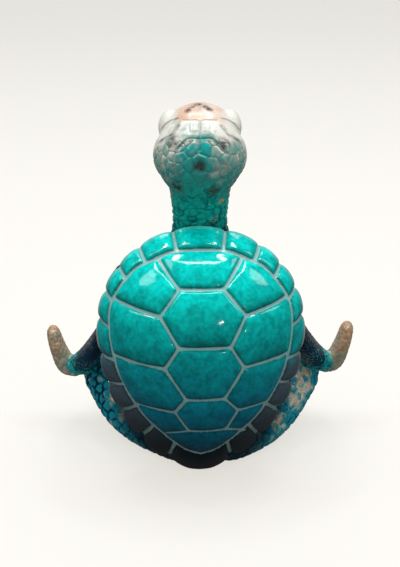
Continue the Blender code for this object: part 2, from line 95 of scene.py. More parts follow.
# Corners of the raised plates, as shares of the shell's half width to its left and right and of its length
# from the tail. The carver's rows drift a little to one side on the way down.
SPINE_CORNERS = [
    (0.410, -0.410, 0.909),
    (0.216, -0.212, 0.819),
    (0.400, -0.417, 0.723),
    (0.228, -0.267, 0.610),
    (0.361, -0.400, 0.521),
    (0.161, -0.217, 0.390),
    (0.267, -0.356, 0.323),
    (0.133, -0.244, 0.232),
    (0.344, -0.439, 0.204),
]
FLANK_CORNERS = [(0.844, 0.752), (0.853, 0.535), (0.650, 0.331)]
DOME_EDGE = [
    (0.000, 0.940), (0.240, 0.934), (0.410, 0.909), (0.640, 0.860), (0.844, 0.752), (0.892, 0.654),
    (0.853, 0.535), (0.775, 0.426), (0.650, 0.331), (0.525, 0.258), (0.390, 0.204), (0.180, 0.127),
    (0.000, 0.099),
]
RIM_SEAM_ANGLES = [75, 54, 38, 22, 6, -15, -32, -48, -63, -77]
# How much of its scallop the rim shows, by the sine of the direction, and of its plates' swell.
SCALLOP_SHOWN = [(-0.7, 1.0), (-0.2, 0.6), (0.3, 0.35)]
SWELL_SHOWN = 0.75
# The rim's rounded lip and flat inner side, as shares of the way out and of the rim's thickness.
LIP_PROFILE = [(0.999, 0.20), (0.992, 0.55), (0.980, 0.85), (0.960, 1.0), (0.60, 1.0)]
# In metres, how far two seams blend where they meet, how long their wavering is, and how far the darker
# glaze and painted shade at a plate's lower edge reach from a seam.
SEAM_BLEND, SEAM_WAVE, POOL_SHADE_REACH = 0.0004, 0.014, 0.0042

# The belly shield's half width at heights from its foot, as shares of the torso's half width and height,
# and the heights of the seams across it.
SHIELD_OUTLINE = [
    (0.00, -0.80), (0.42, -0.76), (0.66, -0.54), (0.70, -0.10),
    (0.72, 0.28), (0.60, 0.56), (0.34, 0.72), (0.00, 0.76),
]
SHIELD_SEAMS = [-0.50, -0.20, 0.08, 0.34, 0.58]

# Creases of the head, as shares of its width and length: over the crown, the lips and the closed lids.
SNOUT_CREASE = [(0.175, 0.120), (0.103, 0.100), (0.040, 0.092), (0.000, 0.075)]
MIDDLE_CREASE = [(0.000, 0.075), (0.000, -0.200)]
NAPE_CREASE = [(0.000, -0.112), (0.061, -0.103), (0.132, -0.102), (0.195, -0.135), (0.235, -0.160)]
LID_CREASE = [(0.230, 0.158), (0.325, 0.172), (0.400, 0.146)]
TEMPLE_CREASE = [(0.225, 0.060), (0.285, -0.012), (0.325, -0.010), (0.400, -0.008)]
CROWN_CREASES = [SNOUT_CREASE, MIDDLE_CREASE, NAPE_CREASE, LID_CREASE]
LIPS = [(0.52, -0.055), (0.36, -0.095), (0.22, -0.085), (0.06, -0.105), (-0.06, -0.060)]
LIDS = [(0.33, 0.095), (0.26, 0.055), (0.17, 0.050), (0.09, 0.085)]
# Places on the head, as shares of its width and length to the side, ahead and up, with sizes in metres.
NOSTRILS = [(0.120, 0.225, 0.262), (0.080, 0.268, 0.252), (0.020, 0.305, 0.235), (-0.060, 0.262, 0.255),
            (-0.095, 0.235, 0.260)]
FRONTALS = [(0.062, 0.010, 0.310), (-0.058, 0.006, 0.310)]
NAPE_SCALES = [
    ((0.081, -0.188, 0.280), 0.0032), ((-0.061, -0.183, 0.286), 0.0030), ((-0.126, -0.220, 0.259), 0.0024),
    ((0.132, -0.290, 0.206), 0.0023), ((0.213, -0.301, 0.158), 0.0021), ((-0.040, -0.262, 0.240), 0.0018),
    ((-0.137, -0.287, 0.208), 0.0030), ((-0.259, -0.221, 0.205), 0.0026), ((-0.234, -0.285, 0.162), 0.0023),
    ((0.142, -0.353, 0.117), 0.0022), ((-0.162, -0.344, 0.126), 0.0023), ((0.295, -0.188, 0.201), 0.0024),
    ((0.358, -0.113, 0.182), 0.0022), ((-0.347, -0.120, 0.191), 0.0024), ((0.004, -0.353, 0.156), 0.0030),
]
KNOBS = [(0.275, -0.083, 0.249), (-0.250, -0.112, 0.258)]
PIT = (0.005, -0.305, 0.214)
SNOUT_TOP = (0.02, 0.26, 0.25)
# Dark patches in the crease between head and neck: partly a wash, partly painted shade.
NAPE_SHADE_WASHES = [(0.225, -0.347, 0.030), (-0.148, -0.377, 0.018)]
TAN_SPOTS = [((-0.192, -0.356, 0.066), 0.0016), ((-0.222, -0.325, -0.190), 0.0022),
             ((-0.168, -0.396, -0.317), 0.0017), ((-0.115, -0.410, -0.325), 0.0013)]
# Heights, in metres, between which the neck's skin turns into the head's, and the sole's into the flat foot.
HEAD_FOOT = (0.120, 0.128)
SOLE = (0.0002, 0.0012)
# How far up the crown reaches, as a share of the head's length. The way down the nape is counted from it.
CROWN_TOP = 0.285
# How thick the glaze lies, from 0 for bare slip to 1 for the deepest glaze: by the way down the nape and
# down the flanks, and by the distance from the wrist in metres. The arm's darkening towards the shell is
# partly deeper glaze and partly painted shade.
NAPE_GLAZE = [
    (-0.11, 0.05), (-0.07, 0.17), (0.0, 0.22), (0.05, 0.28), (0.10, 0.38), (0.13, 0.52), (0.20, 0.54),
    (0.33, 0.58), (0.42, 0.64), (0.50, 0.74), (0.60, 0.78), (0.70, 0.78), (0.80, 0.90),
]
FLANK_GLAZE = [
    (-0.10, 0.04), (0.03, 0.10), (0.08, 0.22), (0.15, 0.32), (0.25, 0.40), (0.40, 0.47), (0.50, 0.60),
    (0.60, 0.78), (0.80, 0.9),
]
ARM_GLAZE_AND_SHADE = [(0.003, 0.46), (0.009, 0.76), (0.020, 1.2)]
# The folds round a wrist, by their distance from it, and the widest scale that still rises with its width.
FIRST_FOLD, FOLD_STEP, LAST_FOLD = 0.0040, 0.0021, 0.0125
WIDEST_SCALE = 0.0040
# A scale starts from a place of the list only where the skin is this near to it.
NEAR_ENOUGH = 0.002
SCALE_SEED, TINT_SEED = 11, 5

# Cream patches on the hind flippers, in metres.
PALE_PATCHES = [
    (-0.0497, -0.0174, 0.0287), (-0.0471, -0.0134, 0.0269), (-0.0511, -0.0148, 0.0226),
    (-0.0475, -0.0100, 0.0223), (-0.0449, -0.0052, 0.0189), (-0.0365, 0.0047, 0.0150),
    (0.0400, -0.0040, 0.0240), (0.0350, 0.0030, 0.0190),
]
# Tints that only the skin's glaze, the floor and the room use.
BLUER = (0.50, 0.58, 1.10)
# Pale lines along the scales' borders on the limbs: partly thin glaze, partly painted highlight.
NET_AND_GLINT = (0.14, 0.40, 0.42)
BROWN = (0.14, 0.12, 0.08)
# Painted highlight: the pale frames round the two frontal scales, where their edges catch the light.
FRONTAL_GLINT = (0.90, 0.93, 0.90)
BARE_FOOT = (0.36, 0.22, 0.11)
FLOOR_BOUNCE = (0.28, 0.27, 0.26)
ROOM_TINT = (1.0, 0.985, 0.96)

# How finely the skin and the shell are worked, the height at which the neck's piece meets the body's, and
# the most triangles that a piece of skin keeps.
VOXEL = 0.00046
HEAD_VOXEL = 0.00029
GRID = 300
NECK_CUT = 0.1135
MOST_TRIANGLES = 194000
# The rings of a limb's rounded end, in degrees, and how far a fresh skin is smoothed at one size of voxel.
ROUND_END = (80, 60, 40, 20)
SMOOTHING_PASSES, SMOOTHED_VOXEL = 12, 0.0008

# The camera: its focal length, the picture's height and the tail's row in it, all in pixels, and its sensor.
FOCAL, PICTURE_HEIGHT, TAIL_ROW = 1357.0, 567, 468
SENSOR_HEIGHT = 36.0
CAMERA_LOOKS_AT = (0.0, 0.010, 0.075)
FLOOR_REACH = 8
# The lamps: a frame that the glaze mirrors, a strip behind, soft sides and a small window. Each has its
# place, its size and its power.
LAMPS_LOOK_AT = (0.0, 0.02, 0.08)
LAMPS = [
    ("frame_back", (0.0, -0.38, 1.05), (0.62, 0.060), 2.2),
    ("frame_front", (0.0, -0.03, 1.05), (0.62, 0.055), 1.9),
    ("frame_left", (0.31, -0.20, 1.05), (0.38, 0.100), 2.4),
    ("frame_right", (-0.31, -0.20, 1.05), (0.38, 0.100), 2.4),
    ("behind", (0.0, -0.75, 0.95), (0.90, 0.16), 1.6),
    ("left_soft", (0.72, 0.02, 0.95), (0.32, 0.50), 1.5, "ELLIPSE"),
    ("right_soft", (-0.80, -0.12, 0.85), (0.32, 0.50), 1.5, "ELLIPSE"),
    ("window", (-0.53, 1.00, 0.56), (0.04, 0.04), 0.25),
    ("window_pane", (-0.47, 1.02, 0.56), (0.04, 0.04), 0.25),
]


def colour(name, text, default):
    """A colour that the panel shows, given as red, green and blue light."""
    return bpy.props.FloatVectorProperty(
        name=name, description=text, default=default, subtype="COLOR", size=3, min=0, max=1)


def length(name, text, default):
    """A length that the panel shows, in metres."""
    return bpy.props.FloatProperty(
        name=name, description=text, default=default, min=0, unit="LENGTH", precision=5)


def share(name, text, default, most=1.0):
    """A plain number that the panel shows."""
    return bpy.props.FloatProperty(
        name=name, description=text, default=default, min=0, max=most, subtype="FACTOR")


class ShellSettings(bpy.types.PropertyGroup):
    seam_width: length("Seam width", "Width of the pale band between two plates", 0.0012)
    seam_depth: length("Seam depth", "How deep the band lies under the plates' edges", 0.0008)
    shoulder: length("Shoulder", "Width of the rounded step from the band up to a plate", 0.0019)
    plate_swell: length("Plate swell", "How far a plate's middle stands out over its edges", 0.0009)
    swell_reach: length("Swell reach", "How far from a seam a plate is still rising", 0.0040)
    top: colour("Top glaze", "The glaze where it ran thin, at the shoulders", (0.0, 0.56, 0.51))
    upper: colour("Upper glaze", "The glaze over the upper plates", (0.0, 0.34, 0.31))
    middle: colour("Middle glaze", "The glaze halfway down", (0.0, 0.20, 0.22))
    lower: colour("Lower glaze", "The glaze over the lower plates", (0.0, 0.11, 0.16))
    foot: colour("Foot glaze", "The glaze where it ran deep, at the tail", (0.0, 0.034, 0.062))
    seam: colour("Seam", "The pale band between the plates", (0.26, 0.45, 0.45))
    # Painted reflection of the pale floor: grey-blue on the lower rim plates.
    floor_reflection: colour("Slate", "The grey slip on the lower plates of the rim", (0.036, 0.060, 0.080))
    # Painted shade: near black on the lowest rim plates at the tail, which face down.
    rim: colour("Lower rim", "The black slip on the rim at the tail", (0.003, 0.007, 0.009))
    mottle: share("Mottle", "How far the glaze varies in patches", 0.60)


class SkinSettings(bpy.types.PropertyGroup):
    leg_scale: length("Leg scale", "Distance between the scales of the hind flippers", 0.0037)
    arm_scale: length("Arm scale", "Distance between the scales of the fore flippers and the neck", 0.0019)
    head_scale: length("Head scale", "Distance between the scales of the cheeks", 0.0019)
    relief: share("Relief", "How far a scale stands out, as a share of its width", 0.17)
    crease: length("Crease depth", "Depth of the creases cut in the head and the belly shield", 0.0004)
    cream: colour("Cream", "Bare slip on the crown, where there is no glaze", (0.56, 0.56, 0.515))
    celadon: colour("Celadon", "The glaze where it is thinnest, on the cheeks", (0.23, 0.33, 0.29))
    teal: colour("Teal", "The glaze at half its depth, on the nape", (0.015, 0.24, 0.23))
    bright: colour("Bright glaze", "The glaze of the neck", (0.0, 0.33, 0.28))
    deep: colour("Deep glaze", "The glaze where it is deepest", (0.0, 0.030, 0.042))
    # Partly the darkest glaze and partly painted shade, in the hollows by the shell's rim.
    pool: colour("Pool", "The darkest glaze, in the hollows", (0.0, 0.004, 0.012))
    clay: colour("Clay", "Warm slip on the snout", (0.50, 0.32, 0.235))
    rust: colour("Rust", "Slip on the fore flippers' tips", (0.52, 0.23, 0.13))
    tan: colour("Tan", "Golden slip in spots and cracks", (0.38, 0.27, 0.13))
    # Dark oxide in the creases. Along the nape's arc and in the nape's dark patches it is partly painted
    # shade.
    soot_and_shade: colour("Soot", "Dark oxide in the creases", (0.035, 0.030, 0.026))


class StageSettings(bpy.types.PropertyGroup):
    floor: colour("Floor", "The light that the pale floor throws back", (0.16, 0.158, 0.155))
    glow: colour("Glow", "The light that the camera sees in the floor besides", (0.68, 0.665, 0.62))
    top_light: share("Top light", "Strength of the soft light from above", 1.15, 5.0)
    side_light: share("Side light", "Strength of the soft light from the sides", 0.50, 5.0)
    mirrored_light: share("Mirrored light", "Strength of the room that the glaze mirrors", 0.04, 5.0)
    distance: length("Camera distance", "From the camera to the turtle's middle", 0.600)
    elevation: bpy.props.FloatProperty(
        name="Camera elevation", description="How far the camera looks down",
        default=math.radians(22), subtype="ANGLE")


class TurtleSettings(bpy.types.PropertyGroup):
    shell: bpy.props.PointerProperty(type=ShellSettings)
    skin: bpy.props.PointerProperty(type=SkinSettings)
    stage: bpy.props.PointerProperty(type=StageSettings)


def smooth_path(points, steps):
    """Points along a smooth curve through the given ones."""
    p = np.array(points, float)
    p = np.vstack([2 * p[0] - p[1], p, 2 * p[-1] - p[-2]])
    t = np.linspace(0, 1, steps, endpoint=False)[:, None]
    spans = []
    for a, b, c, d in zip(p, p[1:], p[2:], p[3:]):
        curve = 2 * b + (c - a) * t + (2 * a - 5 * b + 4 * c - d) * t**2 + (3 * b - a - 3 * c + d) * t**3
        spans.append(curve / 2)
    return np.vstack(spans + [p[-2]])


def ease(value, low, high):
    """0 below low, 1 above high and a smooth step between them. With low above high it falls."""
    t = np.clip((value - low) / (high - low), 0, 1)
    return t * t * (3 - 2 * t)


def read_off(value, table):
    """What a table of pairs has for a value, with straight steps between the pairs."""
    return np.interp(value, *zip(*table))


class Shell:
    """The shell's own frame: x across, w along it from the tail and h out of its rim's plane."""

    lean, turn = math.radians(SHELL_LEAN), math.radians(SHELL_TURN)
    tail = np.array([0.0, TAIL_BEHIND_ORIGIN, TAIL_CLEARANCE])
    across = np.array([math.cos(turn), math.sin(turn), 0.0])
    back = np.array([-math.sin(turn), math.cos(turn), 0.0])
    along = math.cos(lean) * np.array([0.0, 0.0, 1.0]) - math.sin(lean) * back
    out = math.cos(lean) * back + math.sin(lean) * np.array([0.0, 0.0, 1.0])
    half_width = SHELL_WIDTH / 2
    middle = WIDEST * SHELL_LENGTH

    @classmethod
    def place(cls, x, w, h):
        """Points in the turtle's frame from points in the shell's."""
        x, w, h = np.broadcast_arrays(np.asarray(x, float), w, h)
        return cls.tail + x[..., None] * cls.across + w[..., None] * cls.along + h[..., None] * cls.out

    @classmethod
    def local(cls, points):
        """Points in the shell's frame, with w counted from the dome's middle."""
        away = points - cls.tail
        return away @ cls.across, away @ cls.along - cls.middle, away @ cls.out

    @classmethod
    def way_out(cls, points):
        """How far out each point lies, as a share of the rim's distance, in which direction and how high."""
        x, w, h = cls.local(points)
        angle = np.arctan2(w, x)
        return np.hypot(x, w) / cls.reach(angle), angle, h

    @classmethod
    def spot(cls, x_share, w_share, depth_share):
        """A point of the body ahead of the shell, by shares of the shell and of the torso's depth.
        The shell's turn leaves it where it is."""
        x, w, ahead = x_share * cls.half_width, w_share * SHELL_LENGTH, depth_share * TORSO_DEPTH
        y = cls.tail[1] - w * math.sin(cls.lean) - ahead * math.cos(cls.lean)
        return np.array([x, y, cls.tail[2] + w * math.cos(cls.lean) - ahead * math.sin(cls.lean)])

    @classmethod
    def outline(cls, w):
        """The shell's half width at a distance from the tail."""
        t = w / SHELL_LENGTH
        low = np.clip((WIDEST - t) / WIDEST, 0, 1)
        high = np.clip((t - WIDEST) / (1 - WIDEST), 0, 1)
        tail_side = (1 - low**2) ** TAIL_TAPER
        front_side = (1 - high**FRONT_ROUNDING) ** (1 / FRONT_ROUNDING)
        return cls.half_width * np.where(t < WIDEST, tail_side, front_side)

    @classmethod
    def reach(cls, angle):
        """The rim's distance from the dome's middle in each direction."""
        across, up = np.cos(angle), np.sin(angle)
        across = np.where(across < 0, -across / SHELL_FULLER_RIGHT, across)
        low, high = np.zeros_like(up), np.full_like(up, SHELL_LENGTH)
        for _ in range(40):
            r = (low + high) / 2
            w = cls.middle + r * up
            half = cls.outline(np.clip(w, 0, SHELL_LENGTH))
            inside = (w >= 0) & (w <= SHELL_LENGTH) & (r * across <= half)
            low, high = np.where(inside, r, low), np.where(inside, high, r)
        return low

    @classmethod
    def rise(cls, part, angle):
        """The dome's height at a share of the way from its middle to the rim."""
        up2 = np.sin(angle) ** 2
        end = np.where(np.sin(angle) > 0, FALL_FRONT, FALL_TAIL)
        fall = FALL_SIDE * (1 - up2) + end * up2
        return SHELL_RISE * np.maximum(1 - part**2, 0) ** fall

    @classmethod
    def surface(cls, x, w):
        """Points on the dome above (x, w), which are distances."""
        x, w = np.asarray(x, float), np.asarray(w, float)
        angle = np.arctan2(w - cls.middle, x)
        part = np.hypot(x, w - cls.middle) / cls.reach(angle)
        return cls.place(x, w, cls.rise(np.minimum(part, 1), angle))

    @classmethod
    def seam(cls, ends, steps=10):
        """A seam on the dome through points given as shares."""
        points = [(x * cls.half_width, w * SHELL_LENGTH) for x, w in ends]
        path = np.vstack([np.linspace(a, b, steps) for a, b in zip(points, points[1:])])
        return cls.surface(path[:, 0], path[:, 1])


def dome_seams():
    """The seams between the plates of the dome, as paths on its surface."""
    seams = []
    for side in (0, 1):
        corners = [(row[side], row[2]) for row in SPINE_CORNERS]
        seams.append(Shell.seam(corners))
        for corner, (x, w) in zip(corners[2::2], FLANK_CORNERS):
            seams.append(Shell.seam([corner, (math.copysign(x, corner[0]), w)]))
    for left, right, w in SPINE_CORNERS[1::2]:
        seams.append(Shell.seam([(left, w), (right, w)]))
    return seams


def dome_edge():
    """The seam all round the dome, where it meets the plates of the rim, as distances in the rim's plane."""
    left = smooth_path(DOME_EDGE, 8)
    loop = np.vstack([left, left[::-1] * (-1, 1)])
    return loop[:, 0] * Shell.half_width, loop[:, 1] * SHELL_LENGTH


def edge_share(angle):
    """The share of the way out at which the dome meets the rim's plates, in each direction."""
    x, w = dome_edge()
    at = np.arctan2(w - Shell.middle, x)
    part = np.hypot(x, w - Shell.middle) / Shell.reach(at)
    order = np.argsort(at)
    return np.interp(angle, at[order], part[order], period=2 * math.pi)


def rim_seams():
    """The directions of the seams between two rim plates."""
    seams = np.radians(RIM_SEAM_ANGLES)
    return np.concatenate([seams, math.pi - seams])


def rim_scallop(angle):
    """How far the rim reaches beyond its plain outline, or short of it at a seam: less at the shoulders."""
    return RIM_SCALLOP * (rim_plate_bulge(angle) - 0.6) * read_off(np.sin(angle), SCALLOP_SHOWN)


def rim_plate_bulge(angle):
    """0 on a seam between two rim plates and 1 at a plate's middle."""
    bounds = np.sort(rim_seams())
    bounds = np.concatenate([[bounds[-1] - 2 * math.pi], bounds, [bounds[0] + 2 * math.pi]])
    turned = np.mod(angle - bounds[1], 2 * math.pi) + bounds[1]
    i = np.clip(np.searchsorted(bounds, turned, side="right") - 1, 0, len(bounds) - 2)
    part = (turned - bounds[i]) / (bounds[i + 1] - bounds[i])
    return 1 - np.abs(2 * part - 1) ** 3


def distance_to_paths(points, paths):
    """Each point's distance to the nearest of several paths."""
    nearest = np.full(len(points), np.inf)
    for path in paths:
        for a, b in zip(path, path[1:]):
            run = b - a
            length2 = run @ run
            if length2 < 1e-14:
                continue
            t = np.clip((points - a) @ run / length2, 0, 1)
            nearest = np.minimum(nearest, np.linalg.norm(points - a - t[:, None] * run, axis=1))
    return nearest


def rim_seam_paths():
    """The seams between two rim plates, from the dome's edge over the rim and down its lip."""
    paths = []
    out = np.linspace(0, 1, 8)
    for angle in rim_seams():
        turned = np.full(len(out), angle)
        part = edge_share(turned) * (1 - out) + out
        r = Shell.reach(turned) * part + rim_scallop(turned) * out**2
        path = Shell.place(r * np.cos(turned), Shell.middle + r * np.sin(turned), Shell.rise(part, turned))
        paths.append(np.vstack([path, path[-1] - 0.8 * RIM_THICKNESS * Shell.out]))
    return paths


def way_from_paths(points, paths, blend, far=0.014):
    """Each point's distance to the paths, softened where several meet, and its way from the nearest."""
    nearest = np.full(len(points), far)
    away = np.zeros_like(points)
    crowding = np.full(len(points), math.exp(-far / blend))
    for path in paths:
        close = np.all((points > path.min(0) - far) & (points < path.max(0) + far), axis=1).nonzero()[0]
        here = points[close]
        own, step = np.full(len(close), far), np.zeros_like(here)
        for a, b in zip(path, path[1:]):
            run = b - a
            if run @ run == 0:
                continue
            t = np.clip((here - a) @ run / (run @ run), 0, 1)
            off = here - a - t[:, None] * run
            distance = np.linalg.norm(off, axis=1)
            closer = distance < own
            own[closer], step[closer] = distance[closer], off[closer]
        crowding[close] += np.exp(-own / blend)
        closer = own < nearest[close]
        nearest[close[closer]], away[close[closer]] = own[closer], step[closer]
    return -blend * np.log(crowding), away / np.maximum(nearest, 1e-9)[:, None]


def waver(points, size):
    """A slow wander between -1 and 1 over a surface, with waves about size metres long."""
    pace = 2 * math.pi / size
    first = np.sin(points @ (0.9 * pace, 0.3 * pace, 0.5 * pace))
    second = np.sin(points @ (-0.5 * pace, 1.0 * pace, 0.9 * pace) + 2)
    return (first + second + np.sin(points @ (0.4 * pace, -0.5 * pace, 0.7 * pace) + 4)) / 3


def add_object(name, data):
    """A new object in the scene, with a mesh, a lamp or a camera as its data."""
    made = bpy.data.objects.new(name, data)
    bpy.context.scene.collection.objects.link(made)
    return made


def mesh_object(name, points, faces):
    mesh = bpy.data.meshes.new(name)
    mesh.from_pydata([tuple(p) for p in points], [], [tuple(f) for f in faces])
    mesh.update()
    return add_object(name, mesh)


def read_points(mesh, what="co"):
    flat = np.empty(len(mesh.vertices) * 3)
    mesh.vertices.foreach_get(what, flat)
    return flat.reshape(-1, 3)


def write_points(mesh, points):
    mesh.vertices.foreach_set("co", np.asarray(points, float).ravel())
    mesh.update()


def write_layer(mesh, name, values):
    """Keeps one number for each point of a mesh, for its material to read."""
    layer = mesh.attributes.new(name, "FLOAT", "POINT")
    layer.data.foreach_set("value", np.asarray(values, np.float32))


def even_disc(n):
    """Directions and shares of the way out for an even grid of points, folded from a square onto a disc."""
    line = np.linspace(-1, 1, n + 1)
    a, b = (side.ravel() for side in np.meshgrid(line, line))
    wide = np.abs(a) >= np.abs(b)
    radius = np.where(wide, a, b)
    part = np.where(wide, b, a) / np.where(radius == 0, 1, radius)
    angle = np.where(wide, math.pi / 4 * part, math.pi / 2 - math.pi / 4 * part)
    return np.where(radius < 0, angle + math.pi, angle), np.abs(radius)


def make_shell(n):
    """The shell as a closed solid: dome and swollen rim plates, a rounded lip and a flat inner side."""
    angle, part = even_disc(n)
    part = 0.25 * part + 0.75 * np.sin(part * math.pi / 2)
    edge, bulge = edge_share(angle), rim_plate_bulge(angle)
    past_edge = np.clip((part - edge) / (1 - edge), 0, 1)
    r = Shell.reach(angle) * part + rim_scallop(angle) * past_edge**2
    swell = SWELL_SHOWN * RIM_PLATE_SWELL * bulge * np.sin(math.pi * past_edge**0.7)
    height = Shell.rise(part, angle) + swell
    layers = [Shell.place(r * np.cos(angle), Shell.middle + r * np.sin(angle), height)]

    i = np.arange(n)
    rows = i[:, None] * (n + 1) + i
    faces = np.stack([rows, rows + n + 1, rows + n + 2, rows + 1], -1).reshape(-1, 4).tolist()
    loop = np.concatenate([i, i * (n + 1) + n, n * (n + 1) + n - i, (n - i) * (n + 1)])
    turned = angle[loop]
    ring, total = loop, (n + 1) ** 2
    for inset, depth in LIP_PROFILE:
        r = Shell.reach(turned) * inset + rim_scallop(turned) * (inset > 0.9)
        height = -depth * RIM_THICKNESS
        layers.append(Shell.place(r * np.cos(turned), Shell.middle + r * np.sin(turned), height))
        lower = total + np.arange(len(loop))
        faces += np.stack([ring, np.roll(ring, -1), np.roll(lower, -1), lower], -1).tolist()
        ring, total = lower, total + len(loop)
    layers.append(np.atleast_2d(Shell.place(0.0, Shell.middle, -RIM_THICKNESS)))
    faces += [(a, b, total) for a, b in zip(ring.tolist(), np.roll(ring, -1).tolist())]
    return mesh_object("carapace", np.vstack(layers), faces)


def ellipsoid(name, centre, radii, turn=None):
    """A ball drawn out to three radii and turned."""
    made = bpy.data.meshes.new(name)
    form = bmesh.new()
    bmesh.ops.create_uvsphere(form, u_segments=64, v_segments=32, radius=1)
    form.transform(Matrix.Translation(Vector(centre)) @ (turn or Matrix()) @ Matrix.Diagonal((*radii, 1)))
    form.to_mesh(made)
    form.free()
    return add_object(name, made)


def station_table(stations, steps=6):
    """Centres and half sizes all along a limb, from a few stations."""
    return smooth_path([(*centre, a, b) for centre, a, b in stations], steps)


def limb(name, stations, wide, sides=32):
    """A solid swept through stations of centre, half width and half thickness, with rounded ends."""
    table = station_table(stations)
    centres, halves = table[:, :3], table[:, 3:]
    runs = np.gradient(centres, axis=0)
    runs /= np.linalg.norm(runs, axis=1)[:, None]
    rings = []
    for turn in np.radians(ROUND_END):
        first = centres[0] - runs[0] * math.sin(turn) * halves[0].mean()
        rings.append((first, runs[0], halves[0] * math.cos(turn)))
    rings += list(zip(centres, runs, halves))
    for turn in np.radians(ROUND_END[::-1]):
        last = centres[-1] + runs[-1] * math.sin(turn) * halves[-1].mean()
        rings.append((last, runs[-1], halves[-1] * math.cos(turn)))
    around = np.linspace(0, 2 * math.pi, sides, endpoint=False)
    wide = np.array(wide, float)
    points = []
    for centre, run, (a, b) in rings:
        broad = wide - run * (wide @ run)
        broad /= np.linalg.norm(broad)
        thin = np.cross(run, broad)
        points += [centre + broad * a * math.cos(t) + thin * b * math.sin(t) for t in around]
    faces = [tuple(reversed(range(sides))), tuple(range(len(points) - sides, len(points)))]
    for i in range(len(rings) - 1):
        for j in range(sides):
            k = (j + 1) % sides
            faces.append((i * sides + j, i * sides + k, (i + 1) * sides + k, (i + 1) * sides + j))
    return mesh_object(name, points, faces)


class Head:
    """The head's own frame: side, ahead along the snout, and up out of the crown."""

    pitch = math.radians(HEAD_PITCH)
    centre = Shell.spot(0, 1.0, 0) + np.array([0.0, -0.38 * NECK_WIDTH, HEAD_ABOVE_SHELL])
    side = np.array([1.0, 0.0, 0.0])
    ahead = np.array([0.0, -math.cos(pitch), math.sin(pitch)])
    up = np.array([0.0, math.sin(pitch), math.cos(pitch)])
    size = np.array([HEAD_WIDTH, HEAD_LENGTH, HEAD_LENGTH])

    @classmethod
    def place(cls, side, ahead, up):
        """A point from shares of the head's width and length."""
        return cls.centre + np.array([side, ahead, up]) * cls.size @ np.array([cls.side, cls.ahead, cls.up])

    @classmethod
    def shares(cls, points):
        """The shares of the head's width and length at each point."""
        return (points - cls.centre) @ np.array([cls.side, cls.ahead, cls.up]).T / cls.size


def head_ball(name, at, radii):
    """A ball in the head, placed and sized by shares of its width and length."""
    turn = Matrix([(a, b, c, 0) for a, b, c in zip(-Head.side, Head.ahead, Head.up)] + [(0, 0, 0, 1)])
    return ellipsoid(name, Head.place(*at), np.array(radii) * Head.size, turn)


def head_forms():
    forms = [
        head_ball("skull", (0, -0.03, 0.01), (0.455, 0.37, 0.31)),
        head_ball("brow", (0, 0.13, 0.05), (0.40, 0.30, 0.235)),
        head_ball("snout", (0, 0.285, -0.025), (0.28, 0.22, 0.20)),
        head_ball("chin", (0, 0.12, -0.15), (0.33, 0.30, 0.15)),
    ]
    for side in (1, -1):
        forms.append(head_ball("cheek", (side * 0.23, -0.01, 0.0), (0.26, 0.23, 0.225)))
        forms.append(head_ball("eyelid", (side * 0.30, 0.22, 0.065), (0.14, 0.16, 0.12)))
    return forms


def neck_stations():
    half = NECK_WIDTH / 2
    root = Shell.spot(0, 0.74, 0.190)
    collar = Shell.spot(0, 0.95, 0.298)
    nape = Head.place(0, -0.14, -0.16)
    middle = collar * 0.5 + nape * 0.5 - np.array([0, 0.04 * NECK_WIDTH, 0])
    return [(root, 1.75 * half, 1.05 * half), (collar, 1.02 * half, 0.92 * half),
            (middle, 0.97 * half, 0.94 * half), (nape, 1.10 * half, 1.05 * half)]


class Torso:
    """The trunk under the shell."""

    middle = Shell.spot(0, 0.50, 0.202)
    half = np.array([0.86 * Shell.half_width, TORSO_DEPTH / 2, 0.47 * SHELL_LENGTH])


def torso_forms():
    half, depth = LEG_THICKNESS / 2, TORSO_DEPTH / 2
    seat = (-HIP_DRIFT, TAIL_BEHIND_ORIGIN - depth, 0.65 * half)
    lap = (0, TAIL_BEHIND_ORIGIN - 0.54 * FEET_AHEAD_OF_TAIL, 0.33 * half)
    forms = [
        ellipsoid("torso", Torso.middle, Torso.half),
        ellipsoid("seat", seat, (1.10 * depth, 0.76 * depth, 0.90 * half)),
        ellipsoid("lap", lap, (0.82 * KNEE_SPREAD, 0.48 * FEET_AHEAD_OF_TAIL, 0.88 * half)),
    ]
    for side in (1, -1):
        shoulder = Shell.spot(side * 0.50, 0.72, 0.226)
        radii = (0.42 * Shell.half_width, 0.60 * depth, 0.155 * SHELL_LENGTH)
        forms.append(ellipsoid("shoulder", shoulder, radii))
    return forms


def knee_of(side):
    """A knee's middle. The right one stands out further."""
    out = KNEE_SPREAD if side > 0 else KNEE_SPREAD + RIGHT_KNEE_OUT
    return np.array([side * out, TAIL_BEHIND_ORIGIN - KNEE_AHEAD_OF_TAIL, KNEE_HEIGHT])


def thigh_stations(side):
    """The thigh runs out from the hip to the knee. The hips sit a little to the right."""
    half, tail = LEG_THICKNESS / 2, TAIL_BEHIND_ORIGIN
    knee = knee_of(side)
    hip = (side * half - HIP_DRIFT, tail - half, 0.91 * half)
    thigh = (0.57 * knee[0] - HIP_DRIFT / 2, tail - 0.50 * KNEE_AHEAD_OF_TAIL, 0.91 * half)
    bend = (0.79 * knee[0], tail - 0.70 * KNEE_AHEAD_OF_TAIL, 1.25 * half)
    return [(hip, half, half), (thigh, 1.02 * half, 1.02 * half), (bend, 1.02 * half, 1.02 * half),
            (knee, half, half)]


